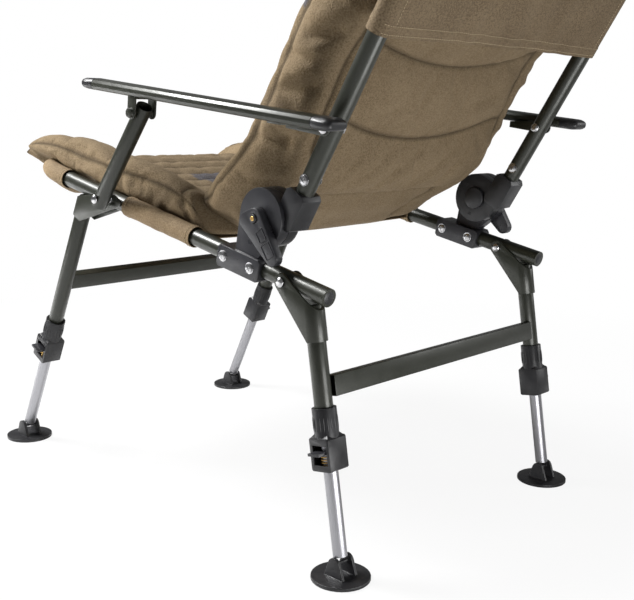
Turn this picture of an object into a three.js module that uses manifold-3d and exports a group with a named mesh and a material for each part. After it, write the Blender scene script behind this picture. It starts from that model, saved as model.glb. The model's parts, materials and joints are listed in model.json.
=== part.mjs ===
// Folding fishing chair with a reclining back, swinging armrests and telescopic legs.
// Lengths are millimetres and angles are degrees. x runs across the chair with its left at +x,
// y runs from its front to its back, z runs up from the floor.
import * as THREE from "three";
import { mergeVertices } from "three/addons/utils/BufferGeometryUtils.js";
import Module from "manifold-3d";

const wasm = await Module();
wasm.setup();

// Clearances between pieces that touch, and how far joins and cuts run past a face
const SEAT_GAP = 0.3;
const PIN_GAP = 0.3;
const MERGE = 1;
const THROUGH = 60;

// Tube shared by the seat frame, the back frame and the leg tubes
const TUBE_RADIUS = 12.5;
const TUBE_WALL = 1.5;
const SHEET_STEEL = 2.5;

// Pivots in the side plane, as [y, z]
const HINGE_CENTRE = [74, 463];
const FRONT_PIVOT = [-265, 464];
const REAR_PIVOT = [115.7, 383];
const ARM_REAR_PIVOT = [181.5, 581];
const ARM_FRONT_PIVOT = [-158, 595];

// Seat frame, measured forward from the rear end of its rails
const RAIL_X = 250;
const RAIL_REAR = [189.1, 370.1];
const RAIL_TILT = -11.06;
const RAIL_LENGTH = 735;
const RAIL_CORNER = 110;
const RAIL_CAP_HEAD = 5;
const RAIL_CAP_PLUG = 16;
const RAIL_CAP_EDGE = 2;

// Dip of the front bar below the rails, from where it starts to where it is full
const FRONT_DIP = 50;
const DIP_X = [246, 140];

// Sling under the mattress
const CLOTH = 2.4;
const SLING_LEVEL = -2;
const SLING_SAG = 4;
const SLING_HALF_WIDTH = 236;
const SLING_NECK = 221;
const MID_SLEEVE = [268, 431];
const FRONT_SLEEVE_START = 600;
const SLING_DIP_START = 585;

// Seat half of the mattress as rows of [bottom run, bottom level, top run, top level] at its edge
const SEAT_PAD_HALF_WIDTH = 227;
const SEAT_PAD_TOP_HALF_WIDTH = 236;
const SEAT_PAD_RIM = 66;
const SEAT_PAD_HOLLOW = 26;
const SEAT_PAD_PILLOW = 7;
const SEAT_PAD_CHANNELS = 7;
const SEAT_PAD_ROWS = [
  [770, 1, 772, 8],
  [759, 8, 760, 22],
  [747, 19, 735, 32],
  [712, 19, 700, 47],
  [660, 17, 655, 57],
  [615, 9, 610, 63],
];
const SEAT_PAD_LAID_ROWS = [
  [575, 560, 66],
  [520, 520, 66],
  [464, 464, 64],
  [410, 410, 61],
  [355, 370, 57],
  [300, 335, 50],
  [258, 310, 40],
];

// Back half of the mattress as rows of [front y, front z, rear y, rear z] about the hinge
const BACK_PAD_HALF_WIDTH = 217;
const BACK_PAD_TOP_HALF_WIDTH = 232;
const BACK_PAD_FRONT_HALF_WIDTH = 238;
const BACK_PAD_CROWN = 8;
const BACK_PAD_PILLOW = 9;
const BACK_PAD_CHANNELS = 7;
const BACK_PAD_ROWS = [
  [-184, -84, -82, -101],
  [-162, -60, -66, -76],
  [-142, -28, -58, -48],
  [-128, 12, -36, -7],
  [-118, 60, -10, 50],
  [-113, 110, -11, 104],
  [-112, 165, -16, 160],
  [-112, 230, -18, 226],
  [-110, 290, -4, 288],
  [-104, 350, 12, 348],
  [-98, 410, 20, 408],
  [-95, 460, 20, 458],
  [-92, 515, 20, 513],
  [-84, 565, 12, 565],
  [-60, 592, -12, 592],
];

// Back frame, measured up its tubes from beside the hinge
const BACK_TILT = -30.7;
const BACK_X = 240;
const BACK_OFFSET = 32.5;
const BACK_TUBE_START = 37;
const BACK_TOP = 665;
const BACK_CORNER = 75;
const COVER_HEM = 288;
const COVER_ROUNDING = 9;

// Recliner hinge, with its layers across the chair measured from the centre plane
const DISC_RADIUS = 40;
const AXLE_RADIUS = 6;
const AXLE_HEAD_RADIUS = 18;
const AXLE_HEAD = [219.7, 222, 227.7];
const AXLE_END = 277.5;
const SOCKET_DISC = [228, 245];
const BASE_DISC = [245.6, 263];
const SOCKET_X = [223, 257];
const SOCKET_HALF_DEPTH = 17;
const SOCKET_CHAMFER = 5;
const SOCKET_Z = [8, 62.7];
const CLAMP_X = [232, 268];
const CLAMP_RUN = [115, 200];
const CLAMP_LEVEL = [-17, 14];
const CLAMP_CHAMFER = 4;
const CLAMP_ARM_RUN = [127, 170];
const LEVER_X = [263.3, 275.3];
const LEVER_HUB_RADIUS = 14;
const LEVER_HEEL = [-17, -4];
const LEVER_TIP = [33, -49];
const LEVER_END_RADIUS = 11;

// Bolts
const BOLT_RADIUS = 3.5;
const BOLT_HEAD_RADIUS = 7;
const BOLT_HEAD = 4.5;

// Armrest, measured from its rear pivot along the arm
const ARM_X = 284;
const ARM_TILT = -5.9;
const ARM_WIDTH = 38;
const ARM_HEIGHT = 16;
const ARM_LEVEL = 9.7;
const ARM_RUN = [-466, 48];
const ARM_CAP_LENGTH = 30;
const ARM_CAP_ROUNDING = 12;
const ARM_CAP_EDGE = 5.3;
const ARM_CAP_PLUG = 12;
const ARM_STRAP_RUN = [-66, -42];
const ARM_STRAP_X = [256, 292];
const ARM_EAR_X = [256, 258.5];
const ARM_EAR_RADIUS = 9;
const ARM_BRACKET_HALF_WIDTH = 19;
const ARM_BRACKET_HALF_RUN = 9;
const ARM_STUB_RADIUS = 5;

// Strut
const STRUT_X = 280;
const STRUT_RADIUS = 12;
const STRUT_END = 12;

// Legs, measured from the foot pin up the leg
const FRONT_LEG = {
  name: "front",
  foot: [-566, 22],
  tilt: -26.2,
  pivot: FRONT_PIVOT,
  lockBottom: 159,
  tubeTop: 486,
  innerTop: 340,
  wrap: [452, 480],
  toe: null,
  earRadius: 10,
  lobe: [97, 534, 6],
  barLevel: 318,
  barY: -6,
};
const REAR_LEG = {
  name: "rear",
  foot: [218, 22],
  tilt: 9.9,
  pivot: REAR_PIVOT,
  lockBottom: 125,
  tubeTop: 340,
  innerTop: 298,
  wrap: [293, 333],
  toe: 3,
  earRadius: 12,
  lobe: null,
  barLevel: 233,
  barY: 5,
};
const BAR_HEIGHT = 28;
const BAR_THICKNESS = 15;
const BAR_WALL = 1.5;
const INNER_RADIUS = 9.75;
const INNER_BORE_RADIUS = 8;
const INNER_END = 9;

// Leg lock, measured up from its lower end
const LOCK_HALF_WIDTH = 17;
const LOCK_WALL = 2.5;
const LOCK_FLOOR = 6;
const LOCK_ROOM_TOP = 36;
const LOCK_HOUSING = 40;
const LOCK_SHOULDER = 45;
const LOCK_HEIGHT = 82;
const LOCK_SLEEVE_RADIUS = 16.5;
const LOCK_CHAMFER = 2;
const LOCK_ROOF = 6;
const LOCK_BORE_GAP = 0.4;
const WINDOW_HALF_WIDTH = 12;
const WINDOW_SILL = 2;
const PLATE_THICKNESS = 3.5;
const PLATE_LEVEL = 23;
const PLATE_HOLE_RADIUS = 11;
const PLATE_HALF_WIDTH = 13.4;
const PLATE_TAB_HALF_WIDTH = 10;
const PLATE_X = [-13.6, 13, 29];
const COIL_RADIUS = 12;
const COIL_WIRE_RADIUS = 0.8;
const COIL_TAIL = 1.6;
const COIL_TURNS = 4;

// Foot
const FOOT_RADIUS = 40;
const FOOT_THICKNESS = 5;
const FOOT_CHEEK = 5;
const FOOT_CHEEK_HALF_WIDTH = 17;
const FOOT_CHEEK_RADIUS = 10;
const FOOT_PIN_RADIUS = 3;

// Shares and counts of the round forms
const SIDES = 16;
const FINE_SIDES = 32;
const PIN_SIDES = 10;
const SLEEVE_SIDES = 14;
const CORNER_STEPS = 6;
const PAD_RING = 26;
const PAD_POWER = 5;
const PAD_ROW_STEPS = 28;
const COIL_SIDES = 5;
const COIL_STEPS = 8;
const ARM_ROUND_STEPS = 5;
const CAP_ROUND_STEPS = 4;
const WIDENING_SHARES = [0.3, 0.5];
const FRONT_WIDENING_SHARES = [0.3, 0.7];

const GREEN = { color: 0x3d423a, roughness: 0.45, metalness: 0.3 };
const BLACK = { color: 0x1b1c1e, roughness: 0.55, metalness: 0 };
const CASTING = { color: 0x55565b, roughness: 0.5, metalness: 0.2 };
const STEEL = { color: 0xc9cbcd, roughness: 0.25, metalness: 1 };
const ALUMINIUM = { color: 0xdfe1e4, roughness: 0.3, metalness: 0.9 };
const BRASS = { color: 0xc49a4a, roughness: 0.3, metalness: 1 };
const CLOTH_BROWN = { color: 0x6b563a, roughness: 0.95, metalness: 0 };
const CLOTH_DARK = { color: 0x5c4a32, roughness: 0.95, metalness: 0 };

const SIDE_PLANE = new THREE.Matrix4().makeBasis(
  new THREE.Vector3(0, 1, 0),
  new THREE.Vector3(0, 0, 1),
  new THREE.Vector3(1, 0, 0),
);
const FRONT_PLANE = new THREE.Matrix4().makeBasis(
  new THREE.Vector3(1, 0, 0),
  new THREE.Vector3(0, 0, 1),
  new THREE.Vector3(0, -1, 0),
);

const radians = (degrees) => THREE.MathUtils.degToRad(degrees);
const mix = THREE.MathUtils.lerp;

/** Path given by its own points, followed point by point. */
class Route extends THREE.Curve {
  constructor(points) {
    super();
    this.points = points;
  }

  getPointAt(share) {
    return this.points[Math.round(share * (this.points.length - 1))].clone();
  }

  getTangentAt(share) {
    const index = Math.round(share * (this.points.length - 1));
    const before = this.points[Math.max(index - 1, 0)];
    const after = this.points[Math.min(index + 1, this.points.length - 1)];
    return after.clone().sub(before).normalize();
  }
}

/** Closed body of a geometry, ready for joins and cuts. */
function solid(geometry) {
  const bare = geometry.clone();
  bare.deleteAttribute("normal");
  bare.deleteAttribute("uv");
  const merged = mergeVertices(bare);
  const corners = merged.index.array;
  const kept = [];
  for (let i = 0; i < corners.length; i += 3) {
    const [a, b, c] = [corners[i], corners[i + 1], corners[i + 2]];
    if (a !== b && b !== c && c !== a) kept.push(a, b, c);
  }
  return new wasm.Manifold(new wasm.Mesh({
    numProp: 3,
    vertProperties: new Float32Array(merged.attributes.position.array),
    triVerts: new Uint32Array(kept),
  }));
}

/** One body out of several that overlap. */
function join(...parts) {
  return parts.map(solid).reduce((whole, part) => whole.add(part));
}

/** A body with several others taken out of it. */
function cut(body, ...tools) {
  return tools.map(solid).reduce((whole, tool) => whole.subtract(tool), body);
}

/** Geometry of a finished body. */
function geometryOf(body) {
  const mesh = body.getMesh();
  const geometry = new THREE.BufferGeometry();
  geometry.setAttribute("position", new THREE.BufferAttribute(mesh.vertProperties, 3));
  geometry.setIndex(new THREE.BufferAttribute(mesh.triVerts, 1));
  const flat = geometry.toNonIndexed();
  flat.computeVertexNormals();
  return flat;
}

/** The same geometry for the other side of the chair. */
function mirrored(geometry) {
  const copy = geometry.clone().scale(-1, 1, 1);
  const position = copy.attributes.position;
  const first = new THREE.Vector3();
  const second = new THREE.Vector3();
  for (let i = 0; i < position.count; i += 3) {
    first.fromBufferAttribute(position, i + 1);
    second.fromBufferAttribute(position, i + 2);
    position.setXYZ(i + 1, second.x, second.y, second.z);
    position.setXYZ(i + 2, first.x, first.y, first.z);
  }
  copy.computeVertexNormals();
  return copy;
}

/** Named piece of one body. */
function piece(name, body, finish) {
  return meshOf(name, geometryOf(body), finish);
}

function meshOf(name, geometry, finish) {
  const mesh = new THREE.Mesh(geometry, new THREE.MeshStandardMaterial(finish));
  mesh.name = name;
  return mesh;
}

/** The left piece and its mirrored twin, each hung in its own group. */
function pair(name, body, finish, leftGroup, rightGroup) {
  const left = geometryOf(body);
  leftGroup.add(meshOf(`${name}_left`, left, finish));
  rightGroup.add(meshOf(`${name}_right`, mirrored(left), finish));
}

/** Group at a point of the side plane with its y axis turned about x. */
function groupAt([y, z], tilt, x = 0) {
  const group = new THREE.Group();
  group.position.set(x, y, z);
  group.rotation.x = radians(tilt);
  return group;
}

/** A point of the side plane as seen from such a group. */
function within([originY, originZ], tilt, [y, z]) {
  const cos = Math.cos(radians(tilt));
  const sin = Math.sin(radians(tilt));
  return [
    (y - originY) * cos + (z - originZ) * sin,
    (z - originZ) * cos - (y - originY) * sin,
  ];
}

/** Plate with an outline in the side plane, reaching across from x0 to x1. */
function sidePlate(outline, x0, x1) {
  const shape = new THREE.Shape(outline.map(([y, z]) => new THREE.Vector2(y, z)));
  const plate = new THREE.ExtrudeGeometry(shape, { depth: x1 - x0, bevelEnabled: false });
  return plate.applyMatrix4(SIDE_PLANE).translate(x0, 0, 0);
}

/** Upright body with an outline seen from above. */
function upright(shape, z0, z1) {
  return new THREE.ExtrudeGeometry(shape, { depth: z1 - z0, bevelEnabled: false }).translate(0, 0, z0);
}

function block(x0, x1, y0, y1, z0, z1) {
  return new THREE.BoxGeometry(x1 - x0, y1 - y0, z1 - z0)
    .translate((x0 + x1) / 2, (y0 + y1) / 2, (z0 + z1) / 2);
}

/** Rod across the chair through a point of the side plane. */
function crossRod([y, z], radius, x0, x1, sides = PIN_SIDES) {
  return new THREE.CylinderGeometry(radius, radius, x1 - x0, sides)
    .rotateZ(Math.PI / 2)
    .translate((x0 + x1) / 2, y, z);
}

/** Post standing on the x-y plane. */
function post(radius, z0, z1, x = 0, y = 0, sides = SIDES) {
  return new THREE.CylinderGeometry(radius, radius, z1 - z0, sides)
    .rotateX(Math.PI / 2)
    .translate(x, y, (z0 + z1) / 2);
}

/** Rod along y. */
function runRod(radius, y0, y1, x, z, sides = SIDES) {
  return new THREE.CylinderGeometry(radius, radius, y1 - y0, sides)
    .translate(x, (y0 + y1) / 2, z);
}

/** Turned piece across the chair, its profile given as [x, radius] from the inside outwards. */
function turned([y, z], profile, sides = SIDES) {
  const points = profile.map(([x, radius]) => new THREE.Vector2(radius, x));
  return new THREE.LatheGeometry(points, sides).rotateZ(-Math.PI / 2).translate(0, y, z);
}

/** Points of an arc in the side plane. */
function arc([y, z], radius, from, to, steps) {
  const points = [];
  for (let i = 0; i <= steps; i += 1) {
    const angle = radians(mix(from, to, i / steps));
    points.push([y + radius * Math.cos(angle), z + radius * Math.sin(angle)]);
  }
  return points;
}

const circle = (centre, radius, steps = SIDES) => arc(centre, radius, 0, 360, steps).slice(1);

/** Convex outline round a set of points. */
function hull(points) {
  const sorted = [...points].sort((p, q) => p[0] - q[0] || p[1] - q[1]);
  const turn = (o, p, q) => (p[0] - o[0]) * (q[1] - o[1]) - (p[1] - o[1]) * (q[0] - o[0]);
  const half = (list) => {
    const chain = [];
    for (const point of list) {
      while (chain.length > 1 && turn(chain.at(-2), chain.at(-1), point) <= 0) chain.pop();
      chain.push(point);
    }
    return chain.slice(0, -1);
  };
  return [...half(sorted), ...half(sorted.reverse())];
}

/** Rectangle with cut corners. */
function chamfered(y0, y1, z0, z1, chamfer) {
  return [
    [y0 + chamfer, z0], [y1 - chamfer, z0], [y1, z0 + chamfer], [y1, z1 - chamfer],
    [y1 - chamfer, z1], [y0 + chamfer, z1], [y0, z1 - chamfer], [y0, z0 + chamfer],
  ];
}

function ringShape(outer, inner, sides = SIDES) {
  const round = (radius) => circle([0, 0], radius, sides).map(([x, y]) => new THREE.Vector2(x, y));
  const shape = new THREE.Shape(round(outer));
  if (inner) shape.holes.push(new THREE.Path(round(inner).reverse()));
  return shape;
}

/** Tube of a ring section along a path. */
function tubeAlong(points, outer, inner, sides = SIDES) {
  return new THREE.ExtrudeGeometry(ringShape(outer, inner, sides), {
    steps: points.length - 1,
    extrudePath: new Route(points),
    bevelEnabled: false,
  });
}

/** Closed skin over a row of rings, capped at both ends. */
function skin(rings) {
  const count = rings[0].length;
  const points = rings.flat();
  const faces = [];
  for (let i = 0; i + 1 < rings.length; i += 1) {
    for (let j = 0; j < count; j += 1) {
      const [a, b] = [i * count + j, i * count + ((j + 1) % count)];
      faces.push(a, b, b + count, a, b + count, a + count);
    }
  }
  const last = (rings.length - 1) * count;
  for (let j = 0; j + 1 < count / 2; j += 1) {
    const [across, back] = [count - 2 - j, count - 1 - j];
    faces.push(j, across, j + 1, j, back, across);
    faces.push(last + j, last + j + 1, last + across, last + j, last + across, last + back);
  }
  const geometry = new THREE.BufferGeometry().setFromPoints(points);
  geometry.setIndex(faces);
  return geometry;
}

/** Rounded section as shares of half its width and half its depth. */
function sectionShares(count, power) {
  const bent = (value) => Math.sign(value) * Math.abs(value) ** (2 / power);
  return Array.from({ length: count }, (_, i) => {
    const angle = (i / count) * Math.PI * 2;
    return [bent(Math.cos(angle)), bent(Math.sin(angle))];
  });
}

/** Row between two given rows of a table, by a share of the whole table. */
function rowAt(rows, share) {
  const at = share * (rows.length - 1);
  const index = Math.min(Math.floor(at), rows.length - 2);
  return rows[index].map((value, i) => mix(value, rows[index + 1][i], at - index));
}

/** Path of a frame tube bent into a U, seen flat: up one side, over the top, down the other. */
function bentU(halfWidth, start, top, corner, stops = []) {
  const flat = [[halfWidth, start]];
  for (let i = 0; i <= CORNER_STEPS; i += 1) {
    const angle = (i / CORNER_STEPS) * (Math.PI / 2);
    flat.push([
      halfWidth - corner + corner * Math.cos(angle),
      top - corner + corner * Math.sin(angle),
    ]);
  }
  flat.push(...stops.map((x) => [x, top]));
  return [...flat, ...flat.map(([x, run]) => [-x, run]).reverse()];
}

/** Share of a full dip or hollow reached at a distance from the centre plane. */
function inwardShare(x, [outer, inner]) {
  return THREE.MathUtils.smoothstep(outer - Math.abs(x), 0, outer - inner);
}

const dipAt = (x) => FRONT_DIP * inwardShare(x, DIP_X);

const railPath = (start) => bentU(RAIL_X, start, RAIL_LENGTH, RAIL_CORNER, [DIP_X[1]])
  .map(([x, run]) => new THREE.Vector3(x, -run, -dipAt(x)));

const onRail = (point) => within(RAIL_REAR, RAIL_TILT, point);

function seatFrame() {
  const tube = solid(tubeAlong(railPath(RAIL_CAP_HEAD + SEAT_GAP), TUBE_RADIUS, TUBE_RADIUS - TUBE_WALL));
  const bore = BOLT_RADIUS + PIN_GAP;
  const span = RAIL_X + TUBE_RADIUS + MERGE;
  return cut(
    tube,
    crossRod(onRail(FRONT_PIVOT), bore, -span, span),
    crossRod(onRail(REAR_PIVOT), bore, -span, span),
  );
}

function railCap() {
  const plug = TUBE_RADIUS - TUBE_WALL - SEAT_GAP;
  const profile = [
    [-RAIL_CAP_PLUG, 0],
    [-RAIL_CAP_PLUG, plug],
    [-RAIL_CAP_HEAD, plug],
    [-RAIL_CAP_HEAD, TUBE_RADIUS],
    [-RAIL_CAP_EDGE, TUBE_RADIUS - RAIL_CAP_EDGE / 2],
    [0, TUBE_RADIUS / 2],
    [0, 0],
  ];
  const points = profile.map(([y, radius]) => new THREE.Vector2(radius, y));
  return solid(new THREE.LatheGeometry(points, SIDES).translate(RAIL_X, 0, 0));
}

/** How far the sling has gone over from its own sag to the dip of the front bar. */
function dipShare(run) {
  return THREE.MathUtils.smoothstep(run, SLING_DIP_START, RAIL_LENGTH - TUBE_RADIUS);
}

const sagAt = (x) => SLING_SAG * (1 - (x / SLING_HALF_WIDTH) ** 2);

/** How far the sling lies below its edges. */
const slingDrop = (x, run) => mix(sagAt(x), dipAt(x), dipShare(run));

/** Half width of the sling between the rails and their bend. */
function slingReach(run) {
  const past = Math.max(run - (RAIL_LENGTH - RAIL_CORNER), 0);
  const bend = RAIL_X - RAIL_CORNER + Math.sqrt(RAIL_CORNER ** 2 - past ** 2);
  return bend - (RAIL_X - SLING_HALF_WIDTH);
}

/** Stations across a soft piece as shares of its half width, closer together towards its edges. */
function stationShares() {
  const stations = sectionShares(PAD_RING, PAD_POWER)
    .filter(([, through]) => through > -Number.EPSILON)
    .map(([across]) => across);
  return stations.sort((p, q) => p - q);
}

function slingSheet() {
  const rows = 10;
  const stations = stationShares();
  const rings = [];
  for (let i = 0; i <= rows; i += 1) {
    const run = mix(RAIL_LENGTH - TUBE_RADIUS - CLOTH / 2, MID_SLEEVE[0], i / rows);
    const top = stations.map((share) => {
      const x = share * slingReach(run);
      return new THREE.Vector3(x, -run, SLING_LEVEL - slingDrop(x, run));
    });
    const under = top.map((p) => p.clone().setZ(p.z - CLOTH)).reverse();
    rings.push([...top, ...under]);
  }
  return solid(skin(rings));
}

function seatSling() {
  const inner = TUBE_RADIUS + SEAT_GAP;
  const outer = inner + CLOTH;
  const neck = [FRONT_SLEEVE_START, MID_SLEEVE[1]];
  let sling = slingSheet();
  for (const side of [-1, 1]) {
    const [x0, x1] = [side * SLING_NECK, side * RAIL_X].sort((p, q) => p - q);
    sling = cut(sling, block(x0, x1, -neck[0], -neck[1], -THROUGH, THROUGH));
    const middle = MID_SLEEVE.map((run) => new THREE.Vector3(side * RAIL_X, -run, 0));
    sling = sling.add(solid(tubeAlong(middle, outer, 0, SLEEVE_SIDES)));
  }
  const bend = tubeAlong(railPath(FRONT_SLEEVE_START), outer, 0, SLEEVE_SIDES);
  const channel = tubeAlong(railPath(FRONT_SLEEVE_START - MERGE), inner, 0);
  const run = [-MID_SLEEVE[1] - MERGE, -MID_SLEEVE[0] + MERGE];
  const lanes = [-RAIL_X, RAIL_X].map((x) => runRod(inner, ...run, x, 0));
  return cut(sling.add(solid(bend)), channel, ...lanes);
}

/** Mattress body over rows of [front or top y, z] against [rear or bottom y, z]. */
function padSkin(rowCount, rowFor) {
  const shares = sectionShares(PAD_RING, PAD_POWER).reverse();
  const rings = [];
  for (let i = 0; i <= rowCount; i += 1) {
    const row = rowFor(i / rowCount);
    rings.push(shares.map(([across, through]) => {
      const share = (through + 1) / 2;
      const x = across * row.reach(share);
      const out = row.rise(x, across) * Math.max(through, 0) - row.fall(x) * Math.max(-through, 0);
      return new THREE.Vector3(
        x,
        mix(row.low[0], row.high[0], share) + out * row.face[0],
        mix(row.low[1], row.high[1], share) + out * row.face[1],
      );
    }));
  }
  return solid(skin(rings));
}

/** Height of the pillows between sewn channels. */
function pillow(height, channels, share) {
  return height * Math.sqrt(Math.abs(Math.sin(Math.PI * channels * share)));
}

/** Mattress on the sling: its edges stand up beside the rails and its middle follows the sling. */
function seatPad() {
  const laid = SEAT_PAD_LAID_ROWS.map(([low, high, top]) => [low, SLING_LEVEL + SEAT_GAP, high, top]);
  const rows = [...SEAT_PAD_ROWS, ...laid];
  const rim = [SEAT_PAD_TOP_HALF_WIDTH, SEAT_PAD_TOP_HALF_WIDTH - SEAT_PAD_RIM];
  return padSkin(PAD_ROW_STEPS, (share) => {
    const [lowRun, lowLevel, highRun, highLevel] = rowAt(rows, share);
    const hollow = SEAT_PAD_HOLLOW * Math.sin(Math.PI * share);
    const puff = pillow(SEAT_PAD_PILLOW, SEAT_PAD_CHANNELS, share);
    return {
      low: [-lowRun, lowLevel],
      high: [-highRun, highLevel],
      face: [0, 1],
      reach: (through) => mix(SEAT_PAD_HALF_WIDTH, SEAT_PAD_TOP_HALF_WIDTH, through),
      rise: (x) => (puff - hollow) * inwardShare(x, rim) - slingDrop(x, highRun),
      fall: (x) => slingDrop(x, lowRun),
    };
  });
}

/** Mattress against the back frame, wider in front of the hinges than beside them. */
function backPad() {
  const rest = BACK_OFFSET - TUBE_RADIUS - SEAT_GAP * 2 - CLOTH;
  return padSkin(PAD_ROW_STEPS, (share) => {
    const [frontY, frontZ, rearY, rearZ] = rowAt(BACK_PAD_ROWS, share);
    const widening = THREE.MathUtils.smoothstep(share, ...WIDENING_SHARES);
    const rear = mix(BACK_PAD_HALF_WIDTH, BACK_PAD_TOP_HALF_WIDTH, widening);
    const crown = BACK_PAD_CROWN * Math.sin(Math.PI * share);
    const puff = pillow(BACK_PAD_PILLOW, BACK_PAD_CHANNELS, share);
    return {
      low: [Math.min(rearY, rest), rearZ],
      high: [frontY, frontZ],
      face: [-1, 0],
      reach: (through) => mix(
        rear,
        BACK_PAD_FRONT_HALF_WIDTH,
        THREE.MathUtils.smoothstep(through, ...FRONT_WIDENING_SHARES),
      ),
      rise: (x, across) => crown * (1 - across ** 2) + puff * Math.sqrt(1 - across ** 2),
      fall: () => 0,
    };
  });
}

function hingeBase() {
  const hinge = onRail(HINGE_CENTRE);
  const run = CLAMP_RUN.map((value) => -value).reverse();
  const clamp = sidePlate(chamfered(...run, ...CLAMP_LEVEL, CLAMP_CHAMFER), ...CLAMP_X);
  const foot = CLAMP_ARM_RUN.map((value) => [-value, TUBE_RADIUS]);
  const arm = sidePlate(hull([...circle(hinge, DISC_RADIUS, FINE_SIDES), ...foot]), ...BASE_DISC);
  return cut(
    join(clamp, arm),
    runRod(TUBE_RADIUS + SEAT_GAP, run[0] - MERGE, run[1] + MERGE, RAIL_X, 0),
    crossRod(hinge, AXLE_RADIUS + PIN_GAP, CLAMP_X[0], CLAMP_X[1], SIDES),
  );
}

function hingeSocket() {
  const disc = crossRod([0, 0], DISC_RADIUS, ...SOCKET_DISC, FINE_SIDES);
  const depth = [BACK_OFFSET - SOCKET_HALF_DEPTH, BACK_OFFSET + SOCKET_HALF_DEPTH];
  const body = sidePlate(chamfered(...depth, ...SOCKET_Z, SOCKET_CHAMFER), ...SOCKET_X);
  return cut(
    join(disc, body),
    crossRod([0, 0], DISC_RADIUS + PIN_GAP, BASE_DISC[0] - PIN_GAP, SOCKET_X[1] + MERGE, FINE_SIDES),
    crossRod([0, 0], AXLE_RADIUS + PIN_GAP, SOCKET_X[0] - MERGE, SOCKET_X[1], SIDES),
    crossRod([0, 0], AXLE_HEAD_RADIUS + PIN_GAP, SOCKET_X[0] - MERGE, SOCKET_DISC[0], SIDES),
    post(TUBE_RADIUS + SEAT_GAP, BACK_TUBE_START - SEAT_GAP, SOCKET_Z[1] + MERGE, BACK_X, BACK_OFFSET),
  );
}

function hingeAxle() {
  return solid(turned([0, 0], [
    [AXLE_HEAD[0], 0],
    [AXLE_HEAD[0], AXLE_HEAD_RADIUS / 2],
    [AXLE_HEAD[1], AXLE_HEAD_RADIUS],
    [AXLE_HEAD[2], AXLE_HEAD_RADIUS],
    [AXLE_HEAD[2], AXLE_RADIUS],
    [AXLE_END, AXLE_RADIUS],
    [AXLE_END, 0],
  ]));
}

function hingeLever() {
  const outline = hull([
    ...circle([0, 0], LEVER_HUB_RADIUS),
    ...circle(LEVER_HEEL, LEVER_END_RADIUS),
    ...circle(LEVER_TIP, LEVER_END_RADIUS),
  ]);
  return cut(
    solid(sidePlate(outline, ...LEVER_X)),
    crossRod([0, 0], AXLE_RADIUS + PIN_GAP, LEVER_X[0] - MERGE, LEVER_X[1] + MERGE, SIDES),
  );
}

function backPath(start) {
  return bentU(BACK_X, start, BACK_TOP, BACK_CORNER)
    .map(([x, run]) => new THREE.Vector3(x, BACK_OFFSET, run));
}

const onBack = (point) => within(HINGE_CENTRE, BACK_TILT, point);

function backFrame() {
  const span = BACK_X + TUBE_RADIUS + MERGE;
  return cut(
    solid(tubeAlong(backPath(BACK_TUBE_START), TUBE_RADIUS, TUBE_RADIUS - TUBE_WALL)),
    crossRod(onBack(ARM_REAR_PIVOT), BOLT_RADIUS + PIN_GAP, -span, span),
  );
}

/** Flat pocket standing on its hem, rounded at its edges. */
function pocket(reach, hem) {
  const flat = bentU(BACK_X + reach - COVER_ROUNDING, hem, BACK_TOP + reach - COVER_ROUNDING, BACK_CORNER);
  const shape = new THREE.Shape(flat.map(([x, run]) => new THREE.Vector2(x, run)));
  const depth = 2 * (reach - COVER_ROUNDING);
  return new THREE.ExtrudeGeometry(shape, {
    depth,
    bevelEnabled: true,
    bevelThickness: COVER_ROUNDING,
    bevelSize: COVER_ROUNDING,
    bevelSegments: 3,
  })
    .translate(0, 0, -depth / 2)
    .applyMatrix4(FRONT_PLANE)
    .translate(0, BACK_OFFSET, 0);
}

function backCover() {
  const inner = TUBE_RADIUS + SEAT_GAP;
  const outer = inner + CLOTH;
  const span = BACK_X + THROUGH;
  const depth = [BACK_OFFSET - THROUGH, BACK_OFFSET + THROUGH];
  const below = block(-span, span, ...depth, COVER_HEM - THROUGH, COVER_HEM);
  return cut(solid(pocket(outer, COVER_HEM - outer)), pocket(inner, COVER_HEM - outer - inner), below);
}

/** Bolt across the chair with round heads and a washer, given its x stations. */
function bolt(centre, innerFace, outerFace, washer) {
  const middle = washer
    ? [
      [washer[0], BOLT_RADIUS],
      [washer[0], BOLT_HEAD_RADIUS],
      [washer[1], BOLT_HEAD_RADIUS],
      [washer[1], BOLT_RADIUS],
    ]
    : [];
  return solid(turned(centre, [
    [innerFace - BOLT_HEAD, 0],
    [innerFace - BOLT_HEAD, BOLT_HEAD_RADIUS / 2],
    [innerFace - BOLT_HEAD / 2, BOLT_HEAD_RADIUS],
    [innerFace, BOLT_HEAD_RADIUS],
    [innerFace, BOLT_RADIUS],
    ...middle,
    [outerFace, BOLT_RADIUS],
    [outerFace, BOLT_HEAD_RADIUS],
    [outerFace + BOLT_HEAD / 2, BOLT_HEAD_RADIUS],
    [outerFace + BOLT_HEAD, BOLT_HEAD_RADIUS / 2],
    [outerFace + BOLT_HEAD, 0],
  ], PIN_SIDES));
}

const EAR_OUTSIDE = TUBE_RADIUS + SEAT_GAP + SHEET_STEEL;

function frontPivotBolt() {
  const washer = [RAIL_X + EAR_OUTSIDE + SEAT_GAP, STRUT_X - STRUT_RADIUS - SEAT_GAP];
  const inside = RAIL_X - EAR_OUTSIDE - SEAT_GAP;
  return bolt(onRail(FRONT_PIVOT), inside, STRUT_X + STRUT_RADIUS + SEAT_GAP, washer);
}

function rearPivotBolt() {
  const reach = EAR_OUTSIDE + SEAT_GAP;
  return bolt(onRail(REAR_PIVOT), RAIL_X - reach, RAIL_X + reach);
}

function armBolt() {
  const washer = [BACK_X + TUBE_RADIUS + SEAT_GAP, ARM_EAR_X[0] - SEAT_GAP];
  return bolt(onBack(ARM_REAR_PIVOT), BACK_X - TUBE_RADIUS - SEAT_GAP, ARM_EAR_X[1] + SEAT_GAP, washer);
}

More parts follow.
